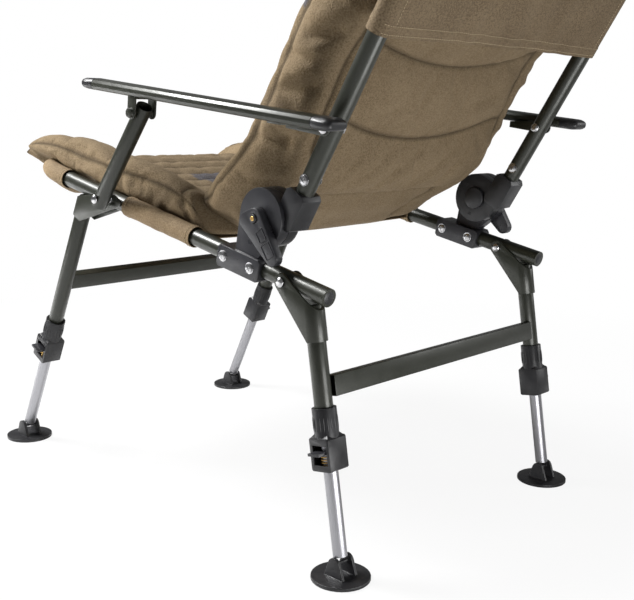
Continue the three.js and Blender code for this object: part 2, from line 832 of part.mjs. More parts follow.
/** Section of the armrest tube, narrowed all round. */
function armSection(inset) {
  const radius = ARM_HEIGHT / 2 - inset;
  const reach = ARM_WIDTH / 2 - ARM_HEIGHT / 2;
  const points = [];
  for (const side of [1, -1]) {
    for (let i = 0; i <= ARM_ROUND_STEPS; i += 1) {
      const angle = Math.PI * (i / ARM_ROUND_STEPS) - Math.PI / 2;
      points.push([side * (reach + radius * Math.cos(angle)), side * radius * Math.sin(angle)]);
    }
  }
  return points;
}

/** Body with the armrest section between stations of [run, inset]. */
function armBody(stations) {
  return skin(stations.map(([run, inset]) => armSection(inset)
    .map(([x, z]) => new THREE.Vector3(ARM_X + x, -run, ARM_LEVEL + z))));
}

function armTube() {
  const start = -ARM_RUN[1] + ARM_CAP_LENGTH + SEAT_GAP;
  const end = -ARM_RUN[0] - ARM_CAP_LENGTH - SEAT_GAP;
  const outer = armBody([[start, 0], [end, 0]]);
  const inner = armBody([[start - MERGE, TUBE_WALL], [end + MERGE, TUBE_WALL]]);
  return { outer, inner };
}

function armBracket(pivot) {
  const underside = ARM_LEVEL - ARM_HEIGHT / 2;
  const run = [pivot[0] - ARM_BRACKET_HALF_RUN, pivot[0] + ARM_BRACKET_HALF_RUN];
  const span = [STRUT_X - ARM_BRACKET_HALF_WIDTH, STRUT_X + ARM_BRACKET_HALF_WIDTH];
  const flange = [
    [run[1], underside],
    [run[0], underside],
    ...arc(pivot, ARM_BRACKET_HALF_RUN, 180, 360, 10),
  ];
  const saddle = block(...span, ...run, underside - SHEET_STEEL, underside + TUBE_WALL / 2);
  return [
    saddle,
    sidePlate(flange, span[0], span[0] + SHEET_STEEL),
    sidePlate(flange, span[1] - SHEET_STEEL, span[1]),
    crossRod(pivot, ARM_STUB_RADIUS, span[0] + SHEET_STEEL / 2, STRUT_X - STRUT_RADIUS - SEAT_GAP),
    crossRod(pivot, ARM_STUB_RADIUS, STRUT_X + STRUT_RADIUS + SEAT_GAP, span[1] + SHEET_STEEL),
    crossRod(pivot, BOLT_HEAD_RADIUS, span[1] - SHEET_STEEL / 2, span[1] + BOLT_HEAD, PIN_SIDES),
  ];
}

function armStrap() {
  const underside = ARM_LEVEL - ARM_HEIGHT / 2;
  const [front, rear] = ARM_STRAP_RUN;
  const strap = block(...ARM_STRAP_X, front, rear, underside - SHEET_STEEL, underside + TUBE_WALL / 2);
  const ear = sidePlate(hull([
    [front, underside + TUBE_WALL / 2],
    [rear, underside + TUBE_WALL / 2],
    [front, underside - ARM_EAR_RADIUS],
    [rear, underside - ARM_EAR_RADIUS],
    ...circle([0, 0], ARM_EAR_RADIUS, 16),
  ]), ...ARM_EAR_X);
  return [strap, ear];
}

function arm() {
  const pivot = within(ARM_REAR_PIVOT, ARM_TILT, ARM_FRONT_PIVOT);
  const { outer, inner } = armTube();
  return cut(
    join(outer, ...armBracket(pivot), ...armStrap()),
    inner,
    crossRod([0, 0], BOLT_RADIUS + PIN_GAP, ARM_EAR_X[0] - MERGE, ARM_EAR_X[1] + MERGE),
  );
}

/** End cap of the armrest: a rounded head and a plug that goes into the tube. */
function armCap(tip, inward) {
  const head = [];
  for (let i = 0; i <= CAP_ROUND_STEPS; i += 1) {
    const angle = (i / CAP_ROUND_STEPS) * (Math.PI / 2);
    const inset = ARM_CAP_EDGE * (1 - Math.sin(angle));
    head.push([tip + inward * ARM_CAP_ROUNDING * (1 - Math.cos(angle)), inset]);
  }
  head.push([tip + inward * ARM_CAP_LENGTH, 0]);
  const plugInset = TUBE_WALL + SEAT_GAP;
  const plug = [
    [tip + inward * (ARM_CAP_LENGTH - MERGE), plugInset],
    [tip + inward * (ARM_CAP_LENGTH + ARM_CAP_PLUG), plugInset],
  ];
  const ordered = (stations) => (inward > 0 ? stations : [...stations].reverse());
  return join(armBody(ordered(head)), armBody(ordered(plug)));
}

function strut(top) {
  const body = post(STRUT_RADIUS, -STRUT_END, top + STRUT_END);
  const room = post(STRUT_RADIUS - TUBE_WALL, -STRUT_END - MERGE, top + STRUT_END + MERGE);
  const reach = STRUT_RADIUS + MERGE;
  return cut(solid(body), room, crossRod([0, 0], BOLT_RADIUS + PIN_GAP, -reach, reach));
}

function legTube(leg) {
  const wall = ringShape(TUBE_RADIUS, TUBE_RADIUS - TUBE_WALL);
  return solid(upright(wall, leg.lockBottom + LOCK_SHOULDER + SEAT_GAP, leg.tubeTop));
}

/** Folded bracket: a wrap round the leg tube and two ears that reach the pivot beside the rail. */
function legBracket(leg) {
  const pivot = within(leg.foot, leg.tilt, leg.pivot);
  const ahead = Math.sign(pivot[0]);
  const outside = EAR_OUTSIDE;
  const inside = TUBE_RADIUS + SEAT_GAP;
  const corners = leg.wrap.flatMap((z) => [[-ahead * outside, z], [ahead * outside, z]]);
  if (leg.toe) corners[1] = [ahead * leg.toe, leg.wrap[0]];
  const lobe = leg.lobe ? circle(leg.lobe.slice(0, 2), leg.lobe[2], 12) : [];
  const outline = hull([...corners, ...circle(pivot, leg.earRadius), ...lobe]);
  const reach = Math.abs(pivot[0]) + THROUGH;
  const span = [0, ahead * reach].sort((p, q) => p - q);
  const [bottom, top] = [leg.wrap[0] - THROUGH, Math.max(pivot[1], leg.wrap[1]) + THROUGH];
  const rounded = join(post(outside, bottom, top), block(-outside, outside, ...span, bottom, top));
  const body = solid(sidePlate(outline, -outside, outside)).intersect(rounded);
  return cut(
    body,
    post(inside, bottom, top),
    block(-inside, inside, ...span, bottom, top),
    crossRod(pivot, BOLT_RADIUS + PIN_GAP, -outside - MERGE, outside + MERGE),
  );
}

function crossbar(leg) {
  const end = RAIL_X - TUBE_RADIUS - SEAT_GAP;
  const half = { y: BAR_THICKNESS / 2, z: BAR_HEIGHT / 2 };
  const [y, z] = [leg.barY, leg.barLevel];
  const bar = block(-end, end, y - half.y, y + half.y, z - half.z, z + half.z);
  const room = block(
    -end - MERGE, end + MERGE,
    y - half.y + BAR_WALL, y + half.y - BAR_WALL,
    z - half.z + BAR_WALL, z + half.z - BAR_WALL,
  );
  return cut(solid(bar), room);
}

function legLock() {
  const half = LOCK_HALF_WIDTH;
  const eaves = LOCK_HOUSING + LOCK_CHAMFER;
  const housing = sidePlate(chamfered(-half, half, 0, eaves + LOCK_CHAMFER, LOCK_CHAMFER), -half, half);
  const roof = new THREE.CylinderGeometry(LOCK_SLEEVE_RADIUS, half * Math.SQRT2, LOCK_ROOF, 4)
    .rotateX(Math.PI / 2)
    .rotateZ(Math.PI / 4)
    .translate(0, 0, eaves + LOCK_ROOF / 2);
  const sleeve = post(LOCK_SLEEVE_RADIUS, LOCK_HOUSING, LOCK_HEIGHT);
  const room = half - LOCK_WALL;
  const window = [LOCK_FLOOR + WINDOW_SILL, LOCK_ROOM_TOP - WINDOW_SILL];
  return cut(
    join(housing, roof, sleeve),
    block(-room, room, -room, room, LOCK_FLOOR, LOCK_ROOM_TOP),
    block(0, half + MERGE, -WINDOW_HALF_WIDTH, WINDOW_HALF_WIDTH, ...window),
    post(INNER_RADIUS + LOCK_BORE_GAP, -MERGE, LOCK_HEIGHT),
    post(TUBE_RADIUS + SEAT_GAP, LOCK_SHOULDER, LOCK_HEIGHT + MERGE),
  );
}

const vectors = (points) => points.map(([x, y]) => new THREE.Vector2(x, y));

function tiltPlate() {
  const [inside, neck, tip] = PLATE_X;
  const shape = new THREE.Shape(vectors([
    [inside, -PLATE_HALF_WIDTH],
    [neck, -PLATE_HALF_WIDTH],
    [neck, -PLATE_TAB_HALF_WIDTH],
    [tip, -PLATE_TAB_HALF_WIDTH],
    [tip, PLATE_TAB_HALF_WIDTH],
    [neck, PLATE_TAB_HALF_WIDTH],
    [neck, PLATE_HALF_WIDTH],
    [inside, PLATE_HALF_WIDTH],
  ]));
  shape.holes.push(new THREE.Path(vectors(circle([0, 0], PLATE_HOLE_RADIUS)).reverse()));
  return solid(upright(shape, PLATE_LEVEL, PLATE_LEVEL + PLATE_THICKNESS));
}

function lockSpring() {
  const bottom = LOCK_FLOOR + SEAT_GAP + COIL_WIRE_RADIUS;
  const top = PLATE_LEVEL - SEAT_GAP - COIL_WIRE_RADIUS;
  const steps = COIL_TURNS * COIL_STEPS;
  const points = [];
  for (let i = 0; i <= steps; i += 1) {
    const angle = (i / COIL_STEPS) * Math.PI * 2;
    points.push(new THREE.Vector3(
      COIL_RADIUS * Math.cos(angle),
      COIL_RADIUS * Math.sin(angle),
      mix(bottom, top, i / steps),
    ));
  }
  const ahead = new THREE.Vector3(0, COIL_TAIL, 0);
  const path = [points[0].clone().sub(ahead), ...points, points.at(-1).clone().add(ahead)];
  return solid(tubeAlong(path, COIL_WIRE_RADIUS, 0, COIL_SIDES));
}

function innerLeg(leg) {
  const reach = INNER_RADIUS + MERGE;
  return cut(
    solid(upright(ringShape(INNER_RADIUS, INNER_BORE_RADIUS), -INNER_END, leg.innerTop)),
    crossRod([0, 0], FOOT_PIN_RADIUS + PIN_GAP, -reach, reach),
  );
}

function foot(pinLevel) {
  const inner = INNER_RADIUS + SEAT_GAP;
  const disc = post(FOOT_RADIUS, 0, FOOT_THICKNESS, 0, 0, FINE_SIDES);
  const low = FOOT_THICKNESS - MERGE;
  const cheek = hull([
    [-FOOT_CHEEK_HALF_WIDTH, low],
    [FOOT_CHEEK_HALF_WIDTH, low],
    ...circle([0, pinLevel], FOOT_CHEEK_RADIUS, SIDES),
  ]);
  return join(
    disc,
    sidePlate(cheek, -inner - FOOT_CHEEK, -inner),
    sidePlate(cheek, inner, inner + FOOT_CHEEK),
    crossRod([0, pinLevel], FOOT_PIN_RADIUS, -inner - MERGE, inner + MERGE),
  );
}

function seatBody() {
  const group = groupAt(RAIL_REAR, RAIL_TILT);
  group.add(piece("seat_frame", seatFrame(), GREEN));
  group.add(piece("seat_sling", seatSling(), CLOTH_DARK));
  group.add(piece("seat_pad", seatPad(), CLOTH_BROWN));
  pair("rail_cap", railCap(), BLACK, group, group);
  pair("hinge_base", hingeBase(), CASTING, group, group);
  pair("front_pivot_bolt", frontPivotBolt(), STEEL, group, group);
  pair("rear_pivot_bolt", rearPivotBolt(), STEEL, group, group);
  return group;
}

function backBody() {
  const group = groupAt(HINGE_CENTRE, BACK_TILT);
  group.add(piece("back_frame", backFrame(), GREEN));
  group.add(piece("back_pad", backPad(), CLOTH_BROWN));
  group.add(piece("back_cover", backCover(), CLOTH_DARK));
  pair("hinge_socket", hingeSocket(), BLACK, group, group);
  pair("hinge_axle", hingeAxle(), BLACK, group, group);
  pair("arm_bolt", armBolt(), STEEL, group, group);
  return group;
}

function leverBody() {
  const group = groupAt(HINGE_CENTRE, 0);
  pair("hinge_lever", hingeLever(), CASTING, group, group);
  return group;
}

function armBodies() {
  const group = groupAt(ARM_REAR_PIVOT, ARM_TILT);
  pair("arm", arm(), GREEN, group, group);
  pair("arm_front_cap", armCap(-ARM_RUN[0], -1), BLACK, group, group);
  pair("arm_rear_cap", armCap(-ARM_RUN[1], 1), BLACK, group, group);
  return group;
}

function strutBodies() {
  const [run, rise] = [ARM_FRONT_PIVOT[0] - FRONT_PIVOT[0], ARM_FRONT_PIVOT[1] - FRONT_PIVOT[1]];
  const tilt = THREE.MathUtils.radToDeg(Math.atan2(-run, rise));
  const groups = [STRUT_X, -STRUT_X].map((x) => groupAt(FRONT_PIVOT, tilt, x));
  pair("strut", strut(Math.hypot(run, rise)), GREEN, ...groups);
  return groups;
}

function legBodies(leg) {
  const middle = groupAt(leg.foot, leg.tilt);
  middle.add(piece(`${leg.name}_crossbar`, crossbar(leg), GREEN));
  const sides = [RAIL_X, -RAIL_X].map((x) => groupAt(leg.foot, leg.tilt, x));
  pair(`${leg.name}_leg_tube`, legTube(leg), GREEN, ...sides);
  pair(`${leg.name}_leg_bracket`, legBracket(leg), GREEN, ...sides);
  pair(`${leg.name}_inner_leg`, innerLeg(leg), ALUMINIUM, ...sides);
  const locks = [1, -1].map((side, i) => {
    const group = new THREE.Group();
    group.position.z = leg.lockBottom;
    sides[i].add(group);
    return group;
  });
  pair(`${leg.name}_lock`, legLock(), BLACK, ...locks);
  pair(`${leg.name}_lock_plate`, tiltPlate(), BLACK, ...locks);
  pair(`${leg.name}_lock_spring`, lockSpring(), BRASS, ...locks);
  const feet = [RAIL_X, -RAIL_X].map((x) => groupAt([leg.foot[0], 0], 0, x));
  pair(`${leg.name}_foot`, foot(leg.foot[1]), BLACK, ...feet);
  return [middle, ...sides, ...feet];
}

const chair = new THREE.Group();
chair.name = "fishing_chair";
chair.add(seatBody(), backBody(), leverBody(), armBodies(), ...strutBodies());
chair.add(...legBodies(FRONT_LEG), ...legBodies(REAR_LEG));
const box = new THREE.Box3().setFromObject(chair);
chair.position.y = -(box.min.y + box.max.y) / 2;

export default chair;
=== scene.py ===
"""Folding fishing chair with a reclining back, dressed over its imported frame.

Sizes are millimetres in the chair's own side planes and become metres as each mesh is made.
x runs across the chair with its left at +x, y from its front to its back, z up from the floor.
"""

from __future__ import annotations

import json
import logging
import math
from dataclasses import dataclass, field
from enum import Enum
from functools import cache
from typing import Any, Iterator, Sequence

import bmesh
import bpy
import numpy as np
from mathutils import Matrix, Vector, noise


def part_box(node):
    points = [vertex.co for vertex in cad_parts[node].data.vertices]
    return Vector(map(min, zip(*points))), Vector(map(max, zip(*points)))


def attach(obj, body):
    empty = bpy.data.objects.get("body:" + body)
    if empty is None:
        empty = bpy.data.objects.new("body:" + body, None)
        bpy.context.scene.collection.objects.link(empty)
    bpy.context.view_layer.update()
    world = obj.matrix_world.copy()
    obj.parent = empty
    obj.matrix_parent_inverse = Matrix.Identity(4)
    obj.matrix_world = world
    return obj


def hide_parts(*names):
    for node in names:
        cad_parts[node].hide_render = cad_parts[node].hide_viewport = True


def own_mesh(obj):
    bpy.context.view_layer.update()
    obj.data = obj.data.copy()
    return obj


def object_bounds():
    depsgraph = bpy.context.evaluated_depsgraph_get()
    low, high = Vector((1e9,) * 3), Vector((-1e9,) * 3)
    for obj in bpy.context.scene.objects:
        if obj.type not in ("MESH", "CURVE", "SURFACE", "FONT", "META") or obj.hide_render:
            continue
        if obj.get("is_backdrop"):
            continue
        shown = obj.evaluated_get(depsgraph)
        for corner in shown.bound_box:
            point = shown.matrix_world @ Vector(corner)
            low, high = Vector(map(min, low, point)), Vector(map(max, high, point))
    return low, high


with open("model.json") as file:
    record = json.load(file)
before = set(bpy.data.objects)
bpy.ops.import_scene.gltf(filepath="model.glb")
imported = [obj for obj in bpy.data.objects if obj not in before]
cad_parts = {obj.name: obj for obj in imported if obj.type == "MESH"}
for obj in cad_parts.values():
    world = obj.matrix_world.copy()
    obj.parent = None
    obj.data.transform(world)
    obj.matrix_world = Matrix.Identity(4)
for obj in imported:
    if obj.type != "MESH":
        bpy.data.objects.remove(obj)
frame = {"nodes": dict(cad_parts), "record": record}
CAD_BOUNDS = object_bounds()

log = logging.getLogger("chair")

Array = np.ndarray
Piece = bpy.types.Object
Node = bpy.types.Node
Socket = bpy.types.NodeSocket
Triple = tuple[float, float, float]
Rows = Sequence[Sequence[float]]
Faces = list[tuple[int, ...]]

MM = 0.001
TOUCH = 1e-5
ROUND_SHADING = 35.0
SHARES = np.linspace(0, 1, 801)
SCREW_SIZES = {"Head_Radius": 0.0062, "Head_Height": 0.0036}
STITCH_PITCH = 4.0
UP = Vector((0, 0, 1))
ACROSS = Vector((1, 0, 0))
AHEAD = Vector((0, 1, 0))


class Side(Enum):
    """The two sides of the chair, with the sign of their x."""

    LEFT = 1
    RIGHT = -1

    @property
    def word(self) -> str:
        """Name of the side as the frame writes it."""
        return self.name.lower()


class Axle(Enum):
    """The two pairs of legs."""

    FRONT = "front"
    REAR = "rear"


def hinge_centre() -> tuple[float, float]:
    """Returns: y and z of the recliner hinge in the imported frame, in millimetres."""
    low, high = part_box("hinge_axle_left")
    return (low[1] + high[1]) / 2 / MM, (low[2] + high[2]) / 2 / MM


HINGE_Y, HINGE_Z = hinge_centre()


@dataclass(frozen=True)
class SidePlane:
    """Slanted frame in the side view, placed from the hinge centre."""

    y: float
    z: float
    tilt: float

    @property
    def slant(self) -> tuple[float, float]:
        """Cosine and sine of the tilt."""
        turn = math.radians(self.tilt)
        return math.cos(turn), math.sin(turn)

    def at(self, x: Any, along: Any, up: Any) -> Array:
        """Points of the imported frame, in millimetres.

        Args:
            x: Places across the chair.
            along: Places along the slanted axis that points to the rear.
            up: Places above that axis.

        Returns:
            An array of points, one row each.
        """
        cos, sin = self.slant
        x, along, up = np.broadcast_arrays(*(np.asarray(v, float) for v in (x, along, up)))
        y = HINGE_Y + self.y + along * cos - up * sin
        z = HINGE_Z + self.z + along * sin + up * cos
        return np.stack([x, y, z], axis=-1)

    def direction(self, along: float, up: float) -> Vector:
        """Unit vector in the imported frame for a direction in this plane."""
        cos, sin = self.slant
        return Vector((0.0, along * cos - up * sin, along * sin + up * cos)).normalized()

    def measures(self, points: Array) -> tuple[Array, Array]:
        """Places of points along the slanted axis and above it."""
        offset = points - self.at(0.0, 0.0, 0.0)
        along, up = (offset @ np.asarray(self.direction(*way)) for way in ((1, 0), (0, 1)))
        return along, up


RAIL = SidePlane(115.1, -92.9, -11.06)
BACK = SidePlane(0.0, 0.0, -30.7)
FRONT_LEG = SidePlane(-640.0, -441.0, -26.2)
REAR_LEG = SidePlane(144.0, -441.0, 9.9)


def smooth(value: Any, low: float, high: float) -> Any:
    """Smooth step from 0 at low to 1 at high."""
    share = np.clip((np.asarray(value, float) - low) / (high - low), 0.0, 1.0)
    return share * share * (3 - 2 * share)


def angles(count: int, closed: bool = False) -> Array:
    """Even angles round a full turn, the last one equal to the first when closed."""
    return np.linspace(0, math.tau, count, endpoint=closed)


def linked(name: str, data: Any) -> Piece:
    """New object for some data, put in the scene."""
    piece = bpy.data.objects.new(name, data)
    bpy.context.scene.collection.objects.link(piece)
    return piece


def new_piece(name: str, points: Array, faces: Faces, edges: Faces | None = None) -> Piece:
    """Makes a mesh object whose place is in its mesh.

    Args:
        name: Name of the piece.
        points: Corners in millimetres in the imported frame.
        faces: Corner numbers of each face.
        edges: Corner numbers of each loose edge.

    Returns:
        The new object, linked to the scene.
    """
    mesh = bpy.data.meshes.new(name)
    corners = (np.asarray(points, float).reshape(-1, 3) * MM).tolist()
    mesh.from_pydata(corners, edges or [], faces)
    mesh.validate()
    return linked(name, mesh)


def weld(bm: bmesh.types.BMesh, reach: float) -> None:
    """Merges the points of a mesh that are nearer than a reach in metres."""
    bmesh.ops.remove_doubles(bm, verts=bm.verts, dist=reach)
    bmesh.ops.dissolve_degenerate(bm, edges=bm.edges, dist=reach)


def face_out(piece: Piece, reach: float = 0.0) -> None:
    """Turns the faces of a closed shape outwards, with its doubles within a reach merged."""
    bm = bmesh.new()
    bm.from_mesh(piece.data)
    if reach:
        weld(bm, reach)
    bmesh.ops.recalc_face_normals(bm, faces=bm.faces)
    if not reach and bm.calc_volume(signed=True) < 0:
        bmesh.ops.reverse_faces(bm, faces=bm.faces)
    bm.to_mesh(piece.data)
    bm.free()


def shade(piece: Piece, angle: float = ROUND_SHADING) -> Piece:
    """Shades a piece smooth, with edges sharper than an angle kept."""
    piece.data.polygons.foreach_set("use_smooth", [True] * len(piece.data.polygons))
    piece.data.set_sharp_from_angle(angle=math.radians(angle))
    return piece


def evaluated(piece: Piece) -> Any:
    """The piece as its modifiers leave it."""
    return piece.evaluated_get(bpy.context.evaluated_depsgraph_get())


def apply_modifiers(piece: Piece) -> None:
    """Turns a piece with modifiers into a plain mesh."""
    old, mesh = piece.data, bpy.data.meshes.new_from_object(evaluated(piece))
    piece.modifiers.clear()
    piece.data = mesh
    bpy.data.meshes.remove(old)


def thicken(piece: Piece, cloth: float) -> None:
    """Gives an open sheet the thickness of its cloth, outwards, in millimetres."""
    shell = piece.modifiers.new("shell", "SOLIDIFY")
    shell.thickness, shell.offset = cloth * MM, 1.0
    apply_modifiers(piece)


def ring_faces(rows: int, ring: int, closed: bool = True) -> Faces:
    """Faces between neighbouring rings of points.

    Args:
        rows: How many rings there are.
        ring: How many points each ring has.
        closed: Whether a ring's last point joins its first.

    Returns:
        Corner numbers of each face.
    """
    reach = ring if closed else ring - 1
    return [(i * ring + j, i * ring + (j + 1) % ring, (i + 1) * ring + (j + 1) % ring,
             (i + 1) * ring + j) for i in range(rows - 1) for j in range(reach)]


def capped(name: str, rings: Sequence[Array]) -> Piece:
    """Closed body through rings of points, with flat ends and outward faces."""
    rows, count = len(rings), len(rings[0])
    faces = ring_faces(rows, count)
    faces.append(tuple(range(count))[::-1])
    faces.append(tuple(range((rows - 1) * count, rows * count)))
    piece = new_piece(name, np.concatenate(rings), faces)
    face_out(piece, TOUCH)
    return piece


def carried(path: Array, side: Any) -> Iterator[tuple[Array, Array, Array]]:
    """Each point of a path with two unit vectors square to the path, from a first side on."""
    tangents = np.gradient(path, axis=0)
    tangents /= np.linalg.norm(tangents, axis=1, keepdims=True)
    first = np.array(side, float)
    for point, tangent in zip(path, tangents):
        first = first - tangent * (first @ tangent)
        first /= np.linalg.norm(first)
        yield point, first, np.cross(tangent, first)


def sweep(name: str, path: Array, section: Array, side: Vector) -> Piece:
    """Closed body of a section carried along a path.

    Args:
        name: Name of the piece.
        path: Points of the path, in millimetres.
        section: Points of the section as offsets along the side vector and across it.
        side: Direction of the section's first axis at the start.

    Returns:
        The new piece, with outward faces and flat ends.
    """
    return capped(name, [point + section[:, :1] * first + section[:, 1:] * second
                         for point, first, second in carried(np.asarray(path, float), side)])


def circle(radius: float, sides: int = 32) -> Array:
    """Points of a circle as two offsets each."""
    return np.stack([radius * np.cos(angles(sides)), radius * np.sin(angles(sides))], axis=1)


def turned(name: str, centre: Array, axis: Vector, profile: Rows, sides: int = 40) -> Piece:
    """Body of a profile turned about an axis.

    Args:
        name: Name of the piece.
        centre: Point on the axis, in millimetres.
        axis: Unit vector along the axis.
        profile: Pairs of height along the axis and radius.
        sides: How many sides the round has.

    Returns:
        The new piece, with its ends closed.
    """
    axis = axis.normalized()
    first = axis.orthogonal().normalized()
    second = axis.cross(first)
    flat = circle(1.0, sides)
    flat = np.outer(flat[:, 0], np.array(first)) + np.outer(flat[:, 1], np.array(second))
    return capped(name, [np.asarray(centre) + np.array(axis) * height + flat * max(radius, TOUCH)
                         for height, radius in profile])


def refined(node: str, width: float, segments: int = 2, angle: float = 30.0) -> Piece:
    """Finer stand-in for a rigid node, with its sharp edges rounded.

    Args:
        node: Name of the frame's node.
        width: How wide the rounding is, in millimetres.
        segments: How many steps the rounding has.
        angle: Edges sharper than this are rounded, in degrees.

    Returns:
        The new piece, which replaces the node and rides on its body.
    """
    bm = bmesh.new()
    bm.from_mesh(frame["nodes"][node].data)
    weld(bm, 2e-6)
    bmesh.ops.dissolve_limit(bm, angle_limit=math.radians(0.5), verts=bm.verts, edges=bm.edges)
    sharp = [e for e in bm.edges if e.is_manifold and e.calc_face_angle() > math.radians(angle)]
    bmesh.ops.bevel(bm, geom=sharp, offset=width * MM, segments=segments, profile=0.5,
                    affect="EDGES", clamp_overlap=True)
    bmesh.ops.triangulate(bm, faces=[f for f in bm.faces if len(f.verts) > 4])
    mesh = bpy.data.meshes.new(f"fine_{node}")
    bm.to_mesh(mesh)
    bm.free()
    return stand_in(shade(linked(mesh.name, mesh)), node)


def stand_in(piece: Piece, node: str) -> Piece:
    """Lets a piece replace a node and ride on its body."""
    for body, names in frame["record"]["behaviour"]["bodies"].items():
        if node in names:
            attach(piece, body)
    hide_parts(node)
    return piece


class Graph:
    """A node tree and the short calls that fill it."""

    def __init__(self, tree: bpy.types.NodeTree) -> None:
        """Empties the tree."""
        self.tree = tree
        tree.nodes.clear()

    def add(self, kind: str, props: dict[str, Any] | None = None, **sockets: Any) -> Node:
        """Adds a node.

        Args:
            kind: Blender's name of the node type.
            props: Values of the node's own settings.
            **sockets: Values or links of its inputs, as in fill.

        Returns:
            The new node.
        """
        node = self.tree.nodes.new(kind)
        for key, value in (props or {}).items():
            setattr(node, key, value)
        self.fill(node, **sockets)
        return node

    def result(self, kind: str, props: dict[str, Any] | None = None, **sockets: Any) -> Socket:
        """Adds a node and returns its first output."""
        return self.add(kind, props, **sockets).outputs[0]

    def fill(self, node: Node, **sockets: Any) -> None:
        """Feeds inputs by their name with _ for a space or, as s0 and so on, by their number."""
        for key, value in sockets.items():
            numbered = key[0] == "s" and key[1:].isdigit()
            self.feed(node.inputs[int(key[1:]) if numbered else key.replace("_", " ")], value)

    def feed(self, target: Socket, value: Any) -> None:
        """Links a socket to an input, or sets its value."""
        if isinstance(value, Socket):
            self.tree.links.new(value, target)
        else:
            target.default_value = value

    def math(self, operation: str, first: Any, second: Any) -> Socket:
        """Result of arithmetic with two values."""
        return self.result("ShaderNodeMath", {"operation": operation}, s0=first, s1=second)

    def xyz(self, x: Any = 0.0, y: Any = 0.0, z: Any = 0.0) -> Socket:
        """Vector of three values."""
        return self.result("ShaderNodeCombineXYZ", X=x, Y=y, Z=z)

    def noise(self, place: Socket, scale: float, detail: float) -> Socket:
        """Noise around a half."""
        return self.result("ShaderNodeTexNoise", Vector=place, Scale=scale, Detail=detail)

    def blotches(self, place: Socket, scale: float, low: float = 0.0, high: float = 1.0,
                 detail: float = 3.0) -> Socket:
        """Noise spread between low and high."""
        return self.result("ShaderNodeMapRange", Value=self.noise(place, scale, detail),
                           From_Min=0.3, From_Max=0.7, To_Min=low, To_Max=high)

    def blend(self, factor: Socket, first: Any, second: Any, mode: str = "MIX") -> Socket:
        """Colour between two colours or sockets by a factor."""
        colours = [c if isinstance(c, Socket) else (*c, 1.0) for c in (first, second)]
        mix = self.add("ShaderNodeMix", {"data_type": "RGBA", "blend_type": mode}, s0=factor,
                       s6=colours[0], s7=colours[1])
        return mix.outputs[2]

    def bump(self, height: Socket, strength: float, distance: float) -> Socket:
        """Normal bent by a height, with its distance in metres."""
        return self.result("ShaderNodeBump", Strength=strength, Distance=distance, Height=height)

    def mix_shaders(self, output: str, factor: Socket, first: Socket, second: Socket) -> None:
        """Ends the tree with a mix of two shaders in an output node."""
        mix = self.result("ShaderNodeMixShader", Fac=factor, s1=first, s2=second)
        self.add(output, Surface=mix)


@dataclass(frozen=True)
class Finish:
    """One surface finish of the chair."""

    name: str
    slot: str
    colour: Triple
    roughness: float

    def dress(self, piece: Piece) -> Piece:
        """Gives a piece this finish as its only material."""
        piece.data.materials.clear()
        piece.data.materials.append(self.material())
        return piece

    @cache
    def material(self) -> bpy.types.Material:
        """Material of this finish, made once."""
        material = bpy.data.materials.new(self.name)
        material.use_nodes = True
        graph = Graph(material.node_tree)
        surface = graph.add("ShaderNodeBsdfPrincipled", Base_Color=(*self.colour, 1.0),
                            Roughness=self.roughness)
        graph.add("ShaderNodeOutputMaterial", Surface=surface.outputs[0])
        place = graph.add("ShaderNodeTexCoord").outputs["Object"]
        graph.fill(surface, **self.detail(graph, place))
        return material

    def detail(self, graph: Graph, place: Socket) -> dict[str, Any]:
        """Surface inputs that set this finish apart from a plain colour."""
        raise NotImplementedError

    def toned(self, share: float, lift: float = 0.0) -> Triple:
        """The finish's colour made lighter or darker."""
        return tuple(min(1.0, c * share + lift) for c in self.colour)


@dataclass(frozen=True)
class Paint(Finish):
    """Sprayed enamel with a faint orange peel and fine scuffs."""

    scuffs: float = 0.25
    metallic: float = 0.25

    def detail(self, graph: Graph, place: Socket) -> dict[str, Any]:
        """Peel, scuffs and uneven gloss."""
        scuff = graph.math("POWER", graph.blotches(place, 420.0, detail=6.0), 7.0)
        amount = graph.math("MULTIPLY", scuff, self.scuffs)
        gloss = graph.blotches(place, 35.0, self.roughness - 0.06, self.roughness + 0.08)
        return {"Base_Color": graph.blend(amount, self.colour, self.toned(2.2, 0.02)),
                "Roughness": gloss, "Metallic": self.metallic, "Coat_Weight": 0.15,
                "Coat_Roughness": 0.15,
                "Normal": graph.bump(graph.noise(place, 700.0, 2.0), 0.12, 0.0004)}


@dataclass(frozen=True)
class Moulded(Finish):
    """Moulded plastic or cast metal with a fine spark-eroded grain."""

    grain: float = 0.3

    def detail(self, graph: Graph, place: Socket) -> dict[str, Any]:
        """Grain, rubbed patches and a dusty lighter tone."""
        dust = graph.blotches(place, 28.0, detail=5.0)
        cells = graph.result("ShaderNodeTexVoronoi", Vector=place, Scale=1600.0)
        return {"Base_Color": graph.blend(dust, self.colour, self.toned(1.7, 0.006)),
                "Roughness": graph.blotches(place, 60.0, self.roughness - 0.1,
                                            self.roughness + 0.08),
                "Specular_IOR_Level": 0.4, "Normal": graph.bump(cells, self.grain, 0.0002)}


@dataclass(frozen=True)
class Drawn(Finish):
    """Drawn or turned metal with fine lines along one direction."""

    tilt: float = 0.0
    lines: float = 0.35

    def detail(self, graph: Graph, place: Socket) -> dict[str, Any]:
        """Lines along the leg, and a clear anodised gloss."""
        along = graph.result("ShaderNodeMapping", Vector=place, Scale=(1.0, 1.0, 0.02),
                             Rotation=(-math.radians(self.tilt), 0.0, 0.0))
        streak = graph.noise(along, 1500.0, 4.0)
        gloss = graph.result("ShaderNodeMapRange", Value=streak, To_Min=self.roughness - 0.07,
                             To_Max=self.roughness + 0.12)
        return {"Metallic": 1.0, "Roughness": gloss,
                "Base_Color": graph.blend(streak, self.toned(0.86), self.colour),
                "Normal": graph.bump(streak, self.lines, 0.0001)}


